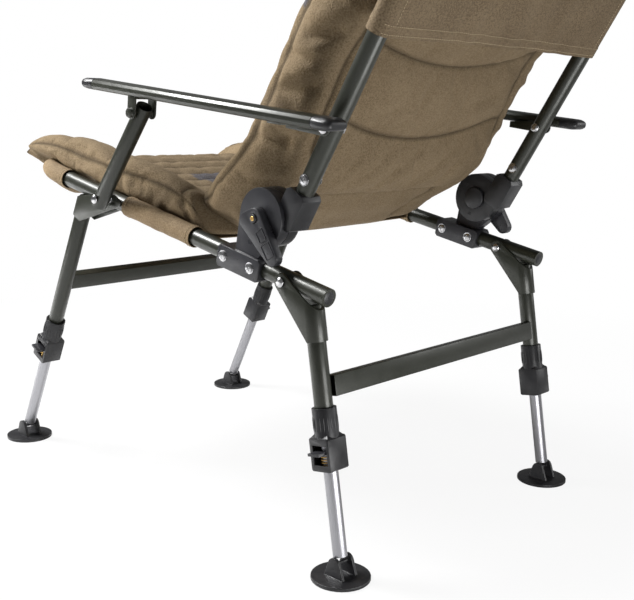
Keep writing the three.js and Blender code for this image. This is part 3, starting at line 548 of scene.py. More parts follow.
@dataclass(frozen=True)
class Woven(Finish):
    """Woven polyester with a crossed thread grain and a brushed face."""

    light: Triple = (0.2, 0.15, 0.09)
    panel: Triple = (0.05, 0.048, 0.055)
    # Tint multiplied into the cloth along the seams: painted shade.
    furrow: Triple = (0.26, 0.24, 0.21)
    bands: float = 0.3157634
    pitch: float = 1.1
    depth: float = 0.5

    def detail(self, graph: Graph, place: Socket) -> dict[str, Any]:
        """Threads, heather, the dark middle panel, painted seam shade and a soft sheen."""
        turn = graph.result("ShaderNodeMapping", Vector=place,
                            Rotation=(math.radians(27), 0.0, math.radians(4)))
        warp, weft = (graph.add(
            "ShaderNodeTexWave", {"bands_direction": way}, Vector=turn,
            Scale=self.bands / (self.pitch * MM), Distortion=2.5, Detail=2.0,
            Detail_Scale=2.0).outputs["Fac"] for way in "XZ")
        heather = graph.blotches(place, 460.0, -1.1, 2.1)
        worn = graph.blotches(place, 16.0, 0.05, 0.5, 4.0)
        tone = graph.math("ADD", worn, graph.math("MULTIPLY", heather, 0.5))
        paler = tuple(c * 1.5 + 0.01 for c in self.panel)
        panel, crease = (graph.add("ShaderNodeAttribute", {"attribute_name": name}).outputs["Fac"]
                         for name in ("panel", "crease"))
        cloth = graph.blend(panel, graph.blend(tone, self.colour, self.light),
                            graph.blend(heather, self.panel, paler))
        height = graph.math("ADD", graph.math("MULTIPLY", warp, weft), heather)
        # Base colour darkened towards the tint along the seams: painted shade.
        return {"Base_Color": graph.blend(crease, cloth, self.furrow, "MULTIPLY"),
                "Specular_IOR_Level": 0.25, "Sheen_Weight": 0.35, "Sheen_Roughness": 0.45,
                "Sheen_Tint": (*self.light, 1.0), "Normal": graph.bump(height, self.depth, 0.0005)}


@dataclass(frozen=True)
class Thread(Finish):
    """Twisted sewing thread."""

    def detail(self, graph: Graph, place: Socket) -> dict[str, Any]:
        """Fine twist across the thread."""
        twist = graph.noise(place, 2600.0, 1.0)
        return {"Base_Color": graph.blend(twist, self.toned(0.7), self.colour),
                "Normal": graph.bump(twist, 0.4, 0.0002)}


GREEN = Paint("dark_green_enamel", "frame_paint", (0.018, 0.0195, 0.0135), 0.38)
BLACK = Moulded("black_mouldings", "black_plastic", (0.008, 0.008, 0.009), 0.38)
CAST = Moulded("dark_castings", "hinge_metal", (0.011, 0.011, 0.013), 0.36, grain=0.2)
ZINC = Drawn("bright_zinc", "bolts", (0.55, 0.55, 0.56), 0.2, lines=0.1)
BRASS = Drawn("yellow_brass", "spring", (0.62, 0.40, 0.14), 0.28, lines=0.1)
FRONT_ALLOY = Drawn("front_anodised_alloy", "inner_legs", (0.36, 0.36, 0.38), 0.34,
                    tilt=FRONT_LEG.tilt)
REAR_ALLOY = Drawn("rear_anodised_alloy", "inner_legs", (0.36, 0.36, 0.38), 0.34,
                   tilt=REAR_LEG.tilt)
MATTRESS_CLOTH = Woven("olive_brushed_cloth", "mattress_cloth", (0.118, 0.084, 0.046), 0.9,
                       light=(0.185, 0.137, 0.082))
SLING_CLOTH = Woven("olive_coated_cloth", "sling_cloth", (0.125, 0.086, 0.047), 0.78,
                    light=(0.205, 0.150, 0.088), pitch=0.9, depth=0.35)
HOOD_CLOTH = Woven("olive_hood_cloth", "sling_cloth", (0.088, 0.061, 0.034), 0.78,
                   light=(0.158, 0.116, 0.068), pitch=0.9, depth=0.35)
PALE_THREAD = Thread("pale_thread", "sling_cloth", (0.42, 0.33, 0.2), 0.7)


class Growth:
    """A geometry-nodes tree with named inputs that grows small pieces on a carrier mesh."""

    def __init__(self, name: str, sizes: Sequence[str]) -> None:
        """Makes the tree's sockets.

        Args:
            name: Name of the tree.
            sizes: Names of its size inputs, in metres.
        """
        self.tree = bpy.data.node_groups.new(name, "GeometryNodeTree")
        for key, kind, way in (("Geometry", "Geometry", "INPUT"),
                               *((size, "Float", "INPUT") for size in sizes),
                               ("Finish", "Material", "INPUT"), ("Geometry", "Geometry", "OUTPUT")):
            self.tree.interface.new_socket(key, in_out=way, socket_type=f"NodeSocket{kind}")
        self.graph = Graph(self.tree)
        self.start = self.graph.add("NodeGroupInput").outputs
        self.fill()

    def fill(self) -> None:
        """Adds the nodes between the inputs and the output."""
        raise NotImplementedError

    def turn_to(self, direction: Socket) -> Socket:
        """Rotation from z to a direction."""
        return self.graph.result("FunctionNodeAlignRotationToVector", {"axis": "Z"},
                                 Vector=direction)

    def own_turn(self) -> Socket:
        """Rotation from z to the axis that each point carries."""
        return self.turn_to(self.graph.result(
            "GeometryNodeInputNamedAttribute", {"data_type": "FLOAT_VECTOR"}, Name="axis"))

    def end(self, points: Socket, shape: Socket, rotation: Socket) -> None:
        """Closes the tree with the shape on every point, as real meshes with the finish."""
        graph = self.graph
        placed = graph.result("GeometryNodeInstanceOnPoints", Points=points, Instance=shape,
                              Rotation=rotation)
        real = graph.result("GeometryNodeRealizeInstances", s0=placed)
        graph.add("NodeGroupOutput", s0=graph.result(
            "GeometryNodeSetMaterial", s0=real, Material=self.start["Finish"]))

    def grow(self, name: str, carrier: Piece, finish: Finish, **sizes: float) -> Piece:
        """Runs the tree on a carrier, which is used up.

        Args:
            name: Name of the new piece.
            carrier: Mesh object with the points or edges that the pieces sit on.
            finish: Finish of the pieces.
            **sizes: Values of the size inputs, by name with _ for a space.

        Returns:
            A plain mesh object.
        """
        modifier = carrier.modifiers.new("growth", "NODES")
        modifier.node_group = self.tree
        values = {"Finish": finish.material(), **sizes}
        for item in self.tree.interface.items_tree:
            key = item.name.replace(" ", "_")
            if item.in_out == "INPUT" and key in values:
                modifier[item.identifier] = values[key]
        mesh = bpy.data.meshes.new_from_object(evaluated(carrier))
        mesh.name = name
        piece = linked(name, mesh)
        bpy.data.objects.remove(carrier)
        return shade(finish.dress(piece), 40)


class Screws(Growth):
    """Pan-head screws with a cross recess on a washer, one on each point."""

    def fill(self) -> None:
        """Domed head, crossed slots and washer, turned to the point's axis."""
        graph, radius, height = self.graph, self.start["Head Radius"], self.start["Head Height"]

        def share(size: Socket, factor: float) -> Socket:
            """Part of a size."""
            return graph.math("MULTIPLY", size, factor)

        def moved(mesh: Socket, level: Socket) -> Socket:
            """Mesh moved up to a level."""
            return graph.result("GeometryNodeTransform", s0=mesh, Translation=graph.xyz(z=level))

        head = graph.result("GeometryNodeMeshCylinder", {"fill_type": "TRIANGLE_FAN"}, Vertices=28,
                            Side_Segments=3, Fill_Segments=4, Radius=radius, Depth=height)
        place = graph.result("GeometryNodeInputPosition")
        flat = graph.result("ShaderNodeVectorMath", {"operation": "MULTIPLY"}, s0=place,
                            s1=(1.0, 1.0, 0.0))
        out = graph.add("ShaderNodeVectorMath", {"operation": "LENGTH"}, s0=flat).outputs["Value"]
        bent = graph.math("POWER", graph.math("DIVIDE", out, radius), 3.0)
        lower = share(graph.math("MULTIPLY", bent, height), -0.4)
        above = {"data_type": "FLOAT", "operation": "GREATER_THAN"}
        top = graph.result("FunctionNodeCompare", above, s1=0.0,
                           s0=graph.add("ShaderNodeSeparateXYZ", s0=place).outputs[2])
        domed = graph.result("GeometryNodeSetPosition", s0=head, Selection=top,
                             Offset=graph.xyz(z=lower))
        width, length, lift = share(radius, 0.24), share(radius, 1.15), share(height, 0.5)
        carved = graph.add("GeometryNodeMeshBoolean", {"operation": "DIFFERENCE"}, Mesh_1=domed)
        for x, y in ((length, width), (width, length)):
            box = graph.result("GeometryNodeMeshCube", Size=graph.xyz(x, y, lift))
            graph.fill(carved, Mesh_2=moved(box, lift))
        washer = graph.result("GeometryNodeMeshCylinder", Vertices=28, Radius=share(radius, 1.28),
                              Depth=share(height, 0.24))
        whole = graph.add("GeometryNodeJoinGeometry", s0=carved.outputs[0])
        graph.fill(whole, s0=moved(washer, share(height, -0.5)))
        spin = graph.add("FunctionNodeRandomValue", {"data_type": "FLOAT"}, Seed=7)
        most = next(s for s in spin.inputs if s.name == "Max" and s.type == "VALUE")
        graph.feed(most, math.pi / 2)
        own = graph.result("FunctionNodeAxisAngleToRotation",
                           Angle=next(s for s in spin.outputs if s.type == "VALUE"))
        both = graph.result("FunctionNodeRotateRotation", {"rotation_space": "LOCAL"},
                            s0=self.own_turn(), s1=own)
        self.end(self.start["Geometry"], whole.outputs[0], both)


class Stitches(Growth):
    """Lockstitches laid end to end along the carrier's edges."""

    def fill(self) -> None:
        """Short rounded threads turned along the seam."""
        graph, pitch, thread = self.graph, self.start["Pitch"], self.start["Thread"]
        line = graph.result("GeometryNodeMeshToCurve", s0=self.start["Geometry"])
        spaced = graph.add("GeometryNodeResampleCurve", s0=line)
        if hasattr(spaced, "mode"):
            spaced.mode = "LENGTH"
        else:
            spaced.inputs["Mode"].default_value = "Length"
        graph.fill(spaced, Length=pitch)
        ball = graph.result("GeometryNodeMeshUVSphere", Segments=6, Rings=5, Radius=1.0)
        size = graph.xyz(thread, thread, graph.math("MULTIPLY", pitch, 0.36))
        long = graph.result("GeometryNodeTransform", s0=ball, Scale=size)
        along = graph.result("GeometryNodeInputTangent")
        self.end(spaced.outputs[0], long, self.turn_to(along))


class Treads(Growth):
    """Small rounded blocks, one on each point, such as ribs and non-slip treads."""

    def fill(self) -> None:
        """Blocks turned to the point's axis."""
        graph, start = self.graph, self.start
        ball = graph.result("GeometryNodeMeshUVSphere", Segments=8, Rings=6, Radius=1.0)
        block = graph.result("GeometryNodeTransform", s0=ball,
                             Scale=graph.xyz(start["Width"], start["Depth"], start["Height"]))
        self.end(start["Geometry"], block, self.own_turn())


def points_mesh(name: str, points: Array, axes: Sequence[Vector]) -> Piece:
    """Carrier of loose points that each know an axis."""
    carrier = new_piece(name, points, [])
    data = carrier.data.attributes.new("axis", "FLOAT_VECTOR", "POINT")
    data.data.foreach_set("vector", np.array([list(a) for a in axes], np.float32).ravel())
    return carrier


def line_mesh(name: str, lines: Sequence[Array]) -> Piece:
    """Carrier of open lines of points, in millimetres."""
    starts = np.cumsum([0, *map(len, lines)])
    edges = [(first + i, first + i + 1) for first, line in zip(starts.tolist(), lines)
             for i in range(len(line) - 1)]
    return new_piece(name, np.concatenate(lines), [], edges)


@dataclass
class Workshop:
    """The trees for what repeats, made once."""

    screws: Growth = field(default_factory=lambda: Screws(
        "pan_head_screws", ("Head Radius", "Head Height")))
    stitches: Growth = field(default_factory=lambda: Stitches("lockstitches", ("Pitch", "Thread")))
    treads: Growth = field(default_factory=lambda: Treads("treads", ("Width", "Depth", "Height")))

    def screw(self, name: str, body: str, places: Array, axes: Sequence[Vector]) -> None:
        """Sets screws on a body.

        Args:
            name: Name of the piece.
            body: Body that the screws ride on.
            places: Middles of the heads, in millimetres.
            axes: Outward directions of the heads.
        """
        carrier = points_mesh(f"{name}_points", places, axes)
        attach(self.screws.grow(name, carrier, ZINC, **SCREW_SIZES), body)

    def stud(self, name: str, body: str, places: Array, axis: Vector, **sizes: float) -> None:
        """Sets black treads that share one axis on a body."""
        carrier = points_mesh(f"{name}_points", places, [axis] * len(places))
        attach(self.treads.grow(name, carrier, BLACK, **sizes), body)

    def sew(self, name: str, body: str, lines: Sequence[Array], thread: float = 0.42) -> Piece:
        """Sews lines of stitches on a body, in millimetres."""
        piece = self.stitches.grow(name, line_mesh(f"{name}_lines", lines), PALE_THREAD,
                                   Pitch=STITCH_PITCH * MM, Thread=thread * MM)
        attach(piece, body)
        return piece


def bent_u(half: float, start: float, top: float, corner: float, steps: int = 14) -> Array:
    """Path bent into a U, as pairs across and along."""
    straight, middle = 12, 24
    angle = np.linspace(0, math.pi / 2, steps)
    arc = np.stack([np.cos(angle), np.sin(angle)], 1) * corner + (half - corner, top - corner)
    side = np.linspace((half, start), (half, top - corner), straight + 1)[:-1]
    right = np.concatenate([side, arc])
    ends = (half - corner, top), (corner - half, top)
    return np.concatenate([right, np.linspace(*ends, middle + 2)[1:-1], right[::-1] * (-1, 1)])


@dataclass
class SeatFrame:
    """Seat rails and front bar in one bent tube, with its end caps."""

    half: float = 250.0
    length: float = 735.0
    corner: float = 110.0
    radius: float = 12.5
    dip: float = 50.0
    dip_x: tuple[float, float] = (246.0, 140.0)

    def dip_at(self, x: Any) -> Any:
        """How far the bar lies below the rails."""
        return self.dip * smooth(self.dip_x[0] - np.abs(x), 0.0, self.dip_x[0] - self.dip_x[1])

    def path(self, start: float = 1.0, steps: int = 14) -> Array:
        """Middle line of the tube."""
        x, run = bent_u(self.half, start, self.length, self.corner, steps).T
        return RAIL.at(x, -run, -self.dip_at(x))

    def build(self) -> None:
        """Makes the tube and dresses the caps."""
        tube = sweep("seat_rails", self.path(), circle(self.radius), UP)
        GREEN.dress(shade(stand_in(tube, "seat_frame")))
        for side in Side:
            BLACK.dress(refined(f"rail_cap_{side.word}", 1.2, 3))
        log.info("seat frame: one bent tube and two caps")


@dataclass
class BackFrame:
    """Back tube bent into a U over the top, with the bolts above the sockets."""

    half: float = 240.0
    offset: float = 32.5
    start: float = 37.0
    top: float = 665.0
    corner: float = 75.0
    radius: float = 12.5
    bolt_level: float = 81.0
    bolt_lift: float = 1.6

    def build(self, workshop: Workshop) -> None:
        """Makes the tube and its bolts."""
        x, level = bent_u(self.half, self.start, self.top, self.corner).T
        tube = sweep("back_tube", BACK.at(x, self.offset, level), circle(self.radius), AHEAD)
        GREEN.dress(shade(stand_in(tube, "back_frame")))
        reach = self.radius + self.bolt_lift
        spots = [(side.value * self.half + face * reach, face) for side in Side for face in (-1, 1)]
        workshop.screw("back_socket_bolts", "backrest",
                       BACK.at([x for x, _ in spots], self.offset, self.bolt_level),
                       [ACROSS * face for _, face in spots])
        for side in Side:
            ZINC.dress(refined(f"arm_bolt_{side.word}", 0.4))
        log.info("back frame: one bent tube and its bolts")


@dataclass
class Recliner:
    """Recliner hinge of one side: clamp on the rail, socket on the back tube, axle and lever."""

    side: Side
    clamp_x: tuple[float, float] = (232.0, 268.0)
    clamp_runs: tuple[float, float] = (133.0, 188.0)
    screw_lift: float = 1.6
    socket_face: float = 228.0
    hole_ring: float = 29.0
    lever_face: float = 275.3
    lever_tip: tuple[float, float] = (33.0, -49.0)
    panels: Rows = ((18.0, 34.0, 6.5), (38.0, 58.0, 7.5))
    bead: float = 0.9
    pin: Rows = ((-1.0, 0.0), (-1.0, 3.4), (2.3, 3.4), (2.9, 2.8), (2.9, 1.4), (2.4, 1.2),
                 (2.4, 0.0))
    hole: Rows = ((-0.6, 0.0), (-0.6, 1.3), (0.35, 1.5), (0.45, 2.2), (0.1, 2.9), (-0.8, 3.0),
                  (-0.8, 0.0))

    def build(self, workshop: Workshop) -> None:
        """Dresses the castings and adds their details."""
        word, sign = self.side.word, self.side.value
        for part, finish, width in (("base", CAST, 1.5), ("socket", BLACK, 1.6),
                                    ("axle", BLACK, 1.2), ("lever", CAST, 1.6)):
            finish.dress(refined(f"hinge_{part}_{word}", width, 3))
        self.lever_details(ACROSS * sign)
        self.dimples(ACROSS * -sign)
        spots = [(x + way * self.screw_lift, run, way) for run in self.clamp_runs
                 for x, way in zip(self.clamp_x, (-1, 1))]
        workshop.screw(f"clamp_screws_{word}", "seat",
                       np.array([RAIL.at(sign * x, -run, -1.0) for x, run, _ in spots]),
                       [ACROSS * (sign * way) for *_, way in spots])
        log.info("recliner %s: clamp, socket, axle, lever", word)

    def lever_details(self, out: Vector) -> None:
        """Ribs round the sunk panels and the brass pin of the lever."""
        word = self.side.word
        along = np.array(self.lever_tip) / np.linalg.norm(self.lever_tip)
        turn = np.array([along, (-along[1], along[0])])

        def on_face(points: Any) -> Array:
            """Points on the lever's face by their runs from the hub and their side steps."""
            flat = np.atleast_2d(points) @ turn + (HINGE_Y, HINGE_Z)
            return np.insert(flat, 0, self.side.value * self.lever_face, axis=1)

        for number, (start, end, half) in enumerate(self.panels):
            rim = [(start, -half), (end, -half), (end, half), (start, half), (start, -half)]
            steps = [np.linspace(a, b, 8, endpoint=False) for a, b in zip(rim, rim[1:])]
            path = on_face(np.concatenate([*steps, rim[-1:]]))
            rib = sweep(f"lever_rim_{number}_{word}", path, circle(self.bead, 8), out)
            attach(CAST.dress(shade(rib, 60)), f"hinge_lever_{word}")
        pin = turned(f"lever_pin_{word}", on_face((0, 0))[0], out, self.pin, 24)
        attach(BRASS.dress(shade(pin)), f"hinge_lever_{word}")

    def dimples(self, out: Vector) -> None:
        """Three small ejector holes in the socket's inner face."""
        for number, degrees in enumerate((40, 160, 280)):
            angle = math.radians(degrees)
            centre = BACK.at(self.side.value * self.socket_face,
                             self.hole_ring * math.cos(angle), self.hole_ring * math.sin(angle))
            ring = turned(f"socket_hole_{number}_{self.side.word}", centre, out, self.hole, 20)
            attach(BLACK.dress(shade(ring)), "backrest")


def build_armrest(side: Side) -> None:
    """Dresses the flat oval arm of a side, its caps, its strut and the pivots."""
    GREEN.dress(refined(f"arm_{side.word}", 0.5))
    for end in ("front", "rear"):
        BLACK.dress(refined(f"arm_{end}_cap_{side.word}", 1.5, 3, 50))
    GREEN.dress(refined(f"strut_{side.word}", 0.5))
    for end in ("front", "rear"):
        ZINC.dress(refined(f"{end}_pivot_bolt_{side.word}", 0.5))
    log.info("armrest %s: arm, caps, strut, pivots", side.word)


@dataclass
class LegPair:
    """Two legs of one axle: tubes, brackets, crossbar, locks, inner legs and feet."""

    axle: Axle
    plane: SidePlane
    alloy: Finish
    lock: float
    inner_top: float
    half: float = 250.0
    inner_radius: float = 9.75
    inner_end: float = 9.0
    coil_ends: tuple[float, float] = (6.3, 22.7)
    coil_radius: float = 12.0
    coil_turns: int = 4
    wire: float = 0.8
    rib_ring: float = 16.4
    rib_level: float = 62.0
    tread_rings: Sequence[tuple[int, int]] = ((14, 8), (24, 14), (33, 20))
    tread_level: float = 0.35

    def name(self, part: str, side: Side | None = None) -> str:
        """Name of a node of this pair."""
        return f"{self.axle.value}_{part}" + (f"_{side.word}" if side else "")

    def build(self, workshop: Workshop) -> None:
        """Builds both sides."""
        GREEN.dress(refined(self.name("crossbar"), 2.2, 3))
        for side in Side:
            self.leg(side)
            self.spring(side)
            self.grips(side, workshop)
        log.info("%s legs: tubes, locks, inner legs and feet", self.axle.value)

    def leg(self, side: Side) -> None:
        """Builds the rigid parts of one leg."""
        for part, finish, width in (("leg_tube", GREEN, 0.4), ("leg_bracket", GREEN, 0.5),
                                    ("lock", BLACK, 0.9), ("lock_plate", CAST, 0.6)):
            finish.dress(refined(self.name(part, side), width))
        levels = np.linspace(self.inner_end, self.inner_top, 4)
        path = self.plane.at(side.value * self.half, 0.0, levels)
        inner = sweep(self.name("inner_tube", side), path, circle(self.inner_radius, 36), ACROSS)
        self.alloy.dress(stand_in(shade(inner), self.name("inner_leg", side)))
        BLACK.dress(refined(self.name("foot", side), 1.3, 3))

    def ring_at(self, side: Side, radius: float, angle: Array, level: Any) -> Array:
        """Points on a ring round the leg."""
        return self.plane.at(side.value * self.half + radius * np.cos(angle),
                             radius * np.sin(angle), level)

    def spring(self, side: Side) -> None:
        """Finer coil in place of the lock's spring."""
        node = self.name("lock_spring", side)
        low, high = np.add(self.coil_ends, self.lock) + (self.wire, -self.wire)
        angle = np.linspace(0, math.tau * self.coil_turns, self.coil_turns * 40)
        path = self.ring_at(side, self.coil_radius, angle, np.linspace(low, high, len(angle)))
        coil = sweep(f"coil_{node}", path, circle(self.wire, 8), ACROSS)
        BRASS.dress(shade(stand_in(coil, node), 60))
        seat = self.plane.at(side.value * self.half, 0.0, low) * MM
        self.name("lock_tilt", side)
        tuple(self.plane.direction(0, 1))
        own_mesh(coil)

    def grips(self, side: Side, workshop: Workshop) -> None:
        """Raised ribs round the lock's sleeve and treads under the foot."""
        places = self.ring_at(side, self.rib_ring, angles(20), self.lock + self.rib_level)
        workshop.stud(self.name("lock_ribs", side), self.name("legs"), places,
                      self.plane.direction(0, 1), Width=0.0007, Depth=0.0007, Height=0.010)
        low, high = (np.array(corner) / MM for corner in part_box(self.name("foot", side)))
        x, y = (low + high)[:2] / 2
        rings = np.concatenate([circle(*ring) for ring in self.tread_rings]) + (x, y)
        soles = np.insert(rings, 2, low[2] + self.tread_level, axis=1)
        workshop.stud(self.name("foot_treads", side), self.name("foot", side), soles, UP,
                      Width=0.0021, Depth=0.0021, Height=0.0003)


def table_at(rows: Rows, share: Array) -> Array:
    """Smooth curve through a table's rows.

    Args:
        rows: Rows of values.
        share: Places from 0 at the first row to 1 at the last.

    Returns:
        An array with a row of values for each place.
    """
    table = np.asarray(rows, float)
    at = np.clip(share, 0, 1) * (len(table) - 1)
    low = np.minimum(at.astype(int), len(table) - 2)
    t = (at - low)[:, None]
    before, after = table[np.maximum(low - 1, 0)], table[np.minimum(low + 2, len(table) - 1)]
    p, q = table[low], table[low + 1]
    return 0.5 * (2 * p + (q - before) * t + (2 * before - 5 * p + 4 * q - after) * t ** 2
                  + (3 * p - before - 3 * q + after) * t ** 3)


def spread(keys: Sequence[float], length: Array, values: Array,
           step: float) -> tuple[Array, list[int]]:
    """Even places that also hit given keys.

    Args:
        keys: Values that must be hit, in rising order, the first and last included.
        length: Length along the curve at each of values, in millimetres.
        values: Rising samples of the curve's own measure.
        step: Wanted spacing in millimetres.

    Returns:
        The places, and the number of each key among them.
    """
    marks = np.interp(keys, values, length)
    places, hits = [marks[0]], [0]
    for low, high in zip(marks, marks[1:]):
        count = max(1, round((high - low) / step))
        places.extend(np.linspace(low, high, count + 1)[1:])
        hits.append(len(places) - 1)
    return np.interp(places, length, values), hits


def creased(along: Array, up: Array, lines: Rows) -> Array:
    """Height of folds along lines, each a groove with a ridge above it.

    Args:
        along: First coordinate of the points in millimetres.
        up: Second coordinate of the points in millimetres.
        lines: Each fold's two ends, depth and width.

    Returns:
        The height at each point.
    """
    height = np.zeros(len(along))
    for a, b, c, d, depth, width in lines:
        size = math.hypot(c - a, d - b)
        unit = ((c - a) / size, (d - b) / size)
        where = (along - a) * unit[0] + (up - b) * unit[1]
        beside = (up - b) * unit[0] - (along - a) * unit[1]
        ends = smooth(where, -0.2 * size, 0.15 * size) * (1 - smooth(where, 0.8 * size, 1.2 * size))
        height -= 1.15 * depth * ends * np.exp(-(beside / width) ** 2)
        height += 0.6 * depth * ends * np.exp(-((beside - 1.9 * width) / (1.5 * width)) ** 2)
    return height


def cloud(points: Array, scale: Triple, seed: float) -> Array:
    """Seeded noise at points, with its grain size in millimetres along each axis."""
    grain = np.asarray(scale, float)
    return np.array([noise.noise(Vector(p / grain) + Vector((seed, 0, 0))) for p in points])


@dataclass
class Cushion:
    """A padded piece given by rows of sizes, sewn along its grid and blown up by cloth.

    Rows run from one end to the other, and each row is a ring that starts in the middle of the
    far side (across 1, through 0) and goes over the upper face first.
    """

    name: str
    node: str
    rows: Rows
    power: float = 5.0
    wide: float = 234.0
    thick: float = 32.0
    step: float = 5.6
    ring_step: float = 6.2
    seam_gap: float = 2.4
    shrink: float = 2.5
    cap: float = 7.0
    pressure: float = 4.0
    fill: float = 0.55
    pillow: float = 5.0
    rise_length: float = 11.0
    fall_length: float = 24.0
    rim_length: float = 12.0
    piping: float = 0.35
    tip_shares: tuple[float, float] = (0.09, 0.05)
    # Width and strength of the painted shade along the seams.
    crease_width: float = 2.8
    crease_tone: float = 0.92
    pin_width: float = 3.0
    frames: int = 20
    fine_grain: float = 19.0
    fine_height: float = 0.8
    pucker_grain: Triple = (11.0, 60.0, 60.0)
    pucker_height: float = 1.7
    pucker_reach: float = 20.0
    grid: tuple[int, int] = field(init=False)
    x: Array = field(init=False)

    def key_table(self) -> tuple[Array, list[float]]:
        """Measure of the row seams at each of SHARES, and the seams' measures."""
        raise NotImplementedError

    def ring_keys(self) -> dict[str, float]:
        """Names and angles of the seams along the rows, by rising angle."""
        low = self.angle_at(self.piping, math.asin)
        return {"left": low, "right": math.pi - low}

    def place(self, rows: Array, share: Array, across: Array, through: Array) -> Array:
        """Points of the cushion's skin in millimetres."""
        raise NotImplementedError

    def row_mask(self, seam: int, across: Array, through: Array) -> Array:
        """How strongly a row seam shows at each point, from 0 to 1."""
        raise NotImplementedError

    def held(self, through: Array) -> Array:
        """Where the cushion rests on something, from 0 to 1."""
        return np.zeros_like(through)

    def panel(self, through: Array) -> Array:
        """Where the dark middle panel is."""
        raise NotImplementedError

    def folds(self, points: Array, across: Array, through: Array) -> Array:
        """Height of the broad folds of this piece."""
        raise NotImplementedError

    def angle_at(self, share: float, turn: Any) -> float:
        """Angle in the first quarter at which the section has a share, by math.asin or acos."""
        return turn(abs(share) ** (self.power / 2))

    def shares(self) -> tuple[Array, list[int]]:
        """Row shares that hit each row seam, and the seams' row numbers."""
        measure, seams = self.key_table()
        span = np.abs(measure - measure[0])
        near = [abs(v - measure[0]) + gap for v in seams
                for gap in (-self.seam_gap, 0.0, self.seam_gap)]
        keys = [0.0, *np.interp(sorted(near), span, SHARES), 1.0]
        places, hits = spread(keys, span, SHARES, self.step)
        return places, hits[2:-1:3]

    def ring(self) -> tuple[Array, Array, list[int]]:
        """Shares across and through one ring, and the number of each lengthwise seam."""
        angle = angles(6001, closed=True)
        across, through = self.section(angle)
        steps = np.hypot(np.diff(across) * self.wide, np.diff(through) * self.thick)
        length = np.concatenate([[0], np.cumsum(steps)])
        keys = [0.0, *self.ring_keys().values(), math.tau]
        places, hits = spread(keys, length, angle, self.ring_step)
        across, through = self.section(places[:-1])
        return across, through, hits[1:-1]

    def section(self, angle: Array) -> tuple[Array, Array]:
        """Boxy round section at an angle."""
        across, through = (np.sign(v) * np.abs(v) ** (2 / self.power)
                           for v in (np.cos(angle), np.sin(angle)))
        return across, through

    def build(self) -> Piece:
        share, seams = self.shares()
        across, through, lines = self.ring()
        self.grid = rows, ring = len(share), len(across)
        across, through = np.tile((across, through), rows)
        share = np.repeat(share, ring)
        points = self.place(table_at(self.rows, share), share, across, through)
        piece = new_piece(self.name, points, ring_faces(rows, ring) + self.ends(rows, ring))
        face_out(piece)
        puff, seam, above = self.puff(points, seams, lines, across, through)
        tips = np.minimum(*(smooth(gap, 0, reach)
                            for gap, reach in zip((share, 1 - share), self.tip_shares)))
        lift = (puff - self.shrink) * tips * (1 - self.held(through))
        self.raised(piece, points, lift)
        # Painted shade: darkens the cloth along the seams.
        self.mark(piece, "crease", np.exp(-(seam / self.crease_width) ** 2) * self.crease_tone)
        self.mark(piece, "panel", self.panel(through))
        pinned = np.maximum(np.exp(-(seam / self.pin_width) ** 2), self.held(through))
        self.blow_up(piece, np.maximum(pinned, 1 - tips))
        self.wrinkle(piece, seam, above, across, through)
        finer = piece.modifiers.new("finer", "SUBSURF")
        finer.levels = finer.render_levels = 1
        apply_modifiers(piece)
        stand_in(shade(piece, 180), self.node)
        MATTRESS_CLOTH.dress(piece)
        log.info("%s: %d faces", self.name, len(piece.data.polygons))
        return piece

    def puff(self, points: Array, seams: list[int], lines: list[int], across: Array,
             through: Array) -> tuple[Array, Array, Array]:
        """Height of the pillows, distance from the seams, and distance above the seam below."""
        net = points.reshape(*self.grid, 3)
        along = np.cumsum(np.linalg.norm(np.diff(net, axis=0, prepend=net[:1]), axis=2), axis=0)
        steps = np.linalg.norm(np.diff(net, axis=1, append=net[:, :1]), axis=2)
        around = np.cumsum(steps, axis=1)
        whole, around = around[:, -1:], np.insert(around, 0, 0.0, axis=1)[:, :-1]
        far = 400.0
        above, below, rim = (np.full(self.grid, far) for _ in range(3))
        for number, row in enumerate(seams):
            hidden = (1 - self.row_mask(number, across, through).reshape(self.grid)) * far
            gap = along - along[row]
            above = np.minimum(above, np.where(gap >= 0, gap, far) + hidden)
            below = np.minimum(below, np.where(gap <= 0, -gap, far) + hidden)
        for column in lines:
            gap = np.abs(around - around[:, column:column + 1])
            rim = np.minimum(rim, np.minimum(gap, whole - gap))
        height = (1 - np.exp(-above / self.rise_length)) * (1 - np.exp(-below / self.fall_length))
        height = 2 * self.pillow * height * (1 - np.exp(-rim / self.rim_length))
        nearest = np.minimum(np.minimum(above, below), rim)
        return height.ravel(), nearest.ravel(), above.ravel()

    @staticmethod
    def ends(rows: int, ring: int) -> Faces:
        """Faces that close the first and last ring, strip by strip."""
        faces, last = [], (rows - 1) * ring
        for j in range(ring // 2):
            a, b, c, d = j, (j + 1) % ring, (ring - j - 1) % ring, (ring - j) % ring
            quad = tuple(dict.fromkeys((a, d, c, b)))
            if len(quad) > 2:
                faces += [quad, tuple(last + k for k in quad[::-1])]
        return faces

    @staticmethod
    def mark(piece: Piece, name: str, values: Array) -> None:
        """Stores a value on each point for the cloth's finish."""
        data = piece.data.attributes.new(name, "FLOAT", "POINT")
        data.data.foreach_set("value", np.asarray(values, np.float32))

    @staticmethod
    def vectors(piece: Piece, key: str) -> Array:
        """A vector of each point, its co or its normal."""
        values = np.zeros(len(piece.data.vertices) * 3, np.float32)
        piece.data.vertices.foreach_get(key, values)
        return values.reshape(-1, 3).astype(float)

    def raised(self, piece: Piece, points: Array, height: Array) -> None:
        """Puts a piece's points above given points, along its normals."""
        self.move(piece, points + self.vectors(piece, "normal") * height[:, None])

    @staticmethod
    def move(piece: Piece, points: Array) -> None:
        """Moves the points of a piece."""
        piece.data.vertices.foreach_set("co", (points * MM).astype(np.float32).ravel())
        piece.data.update()

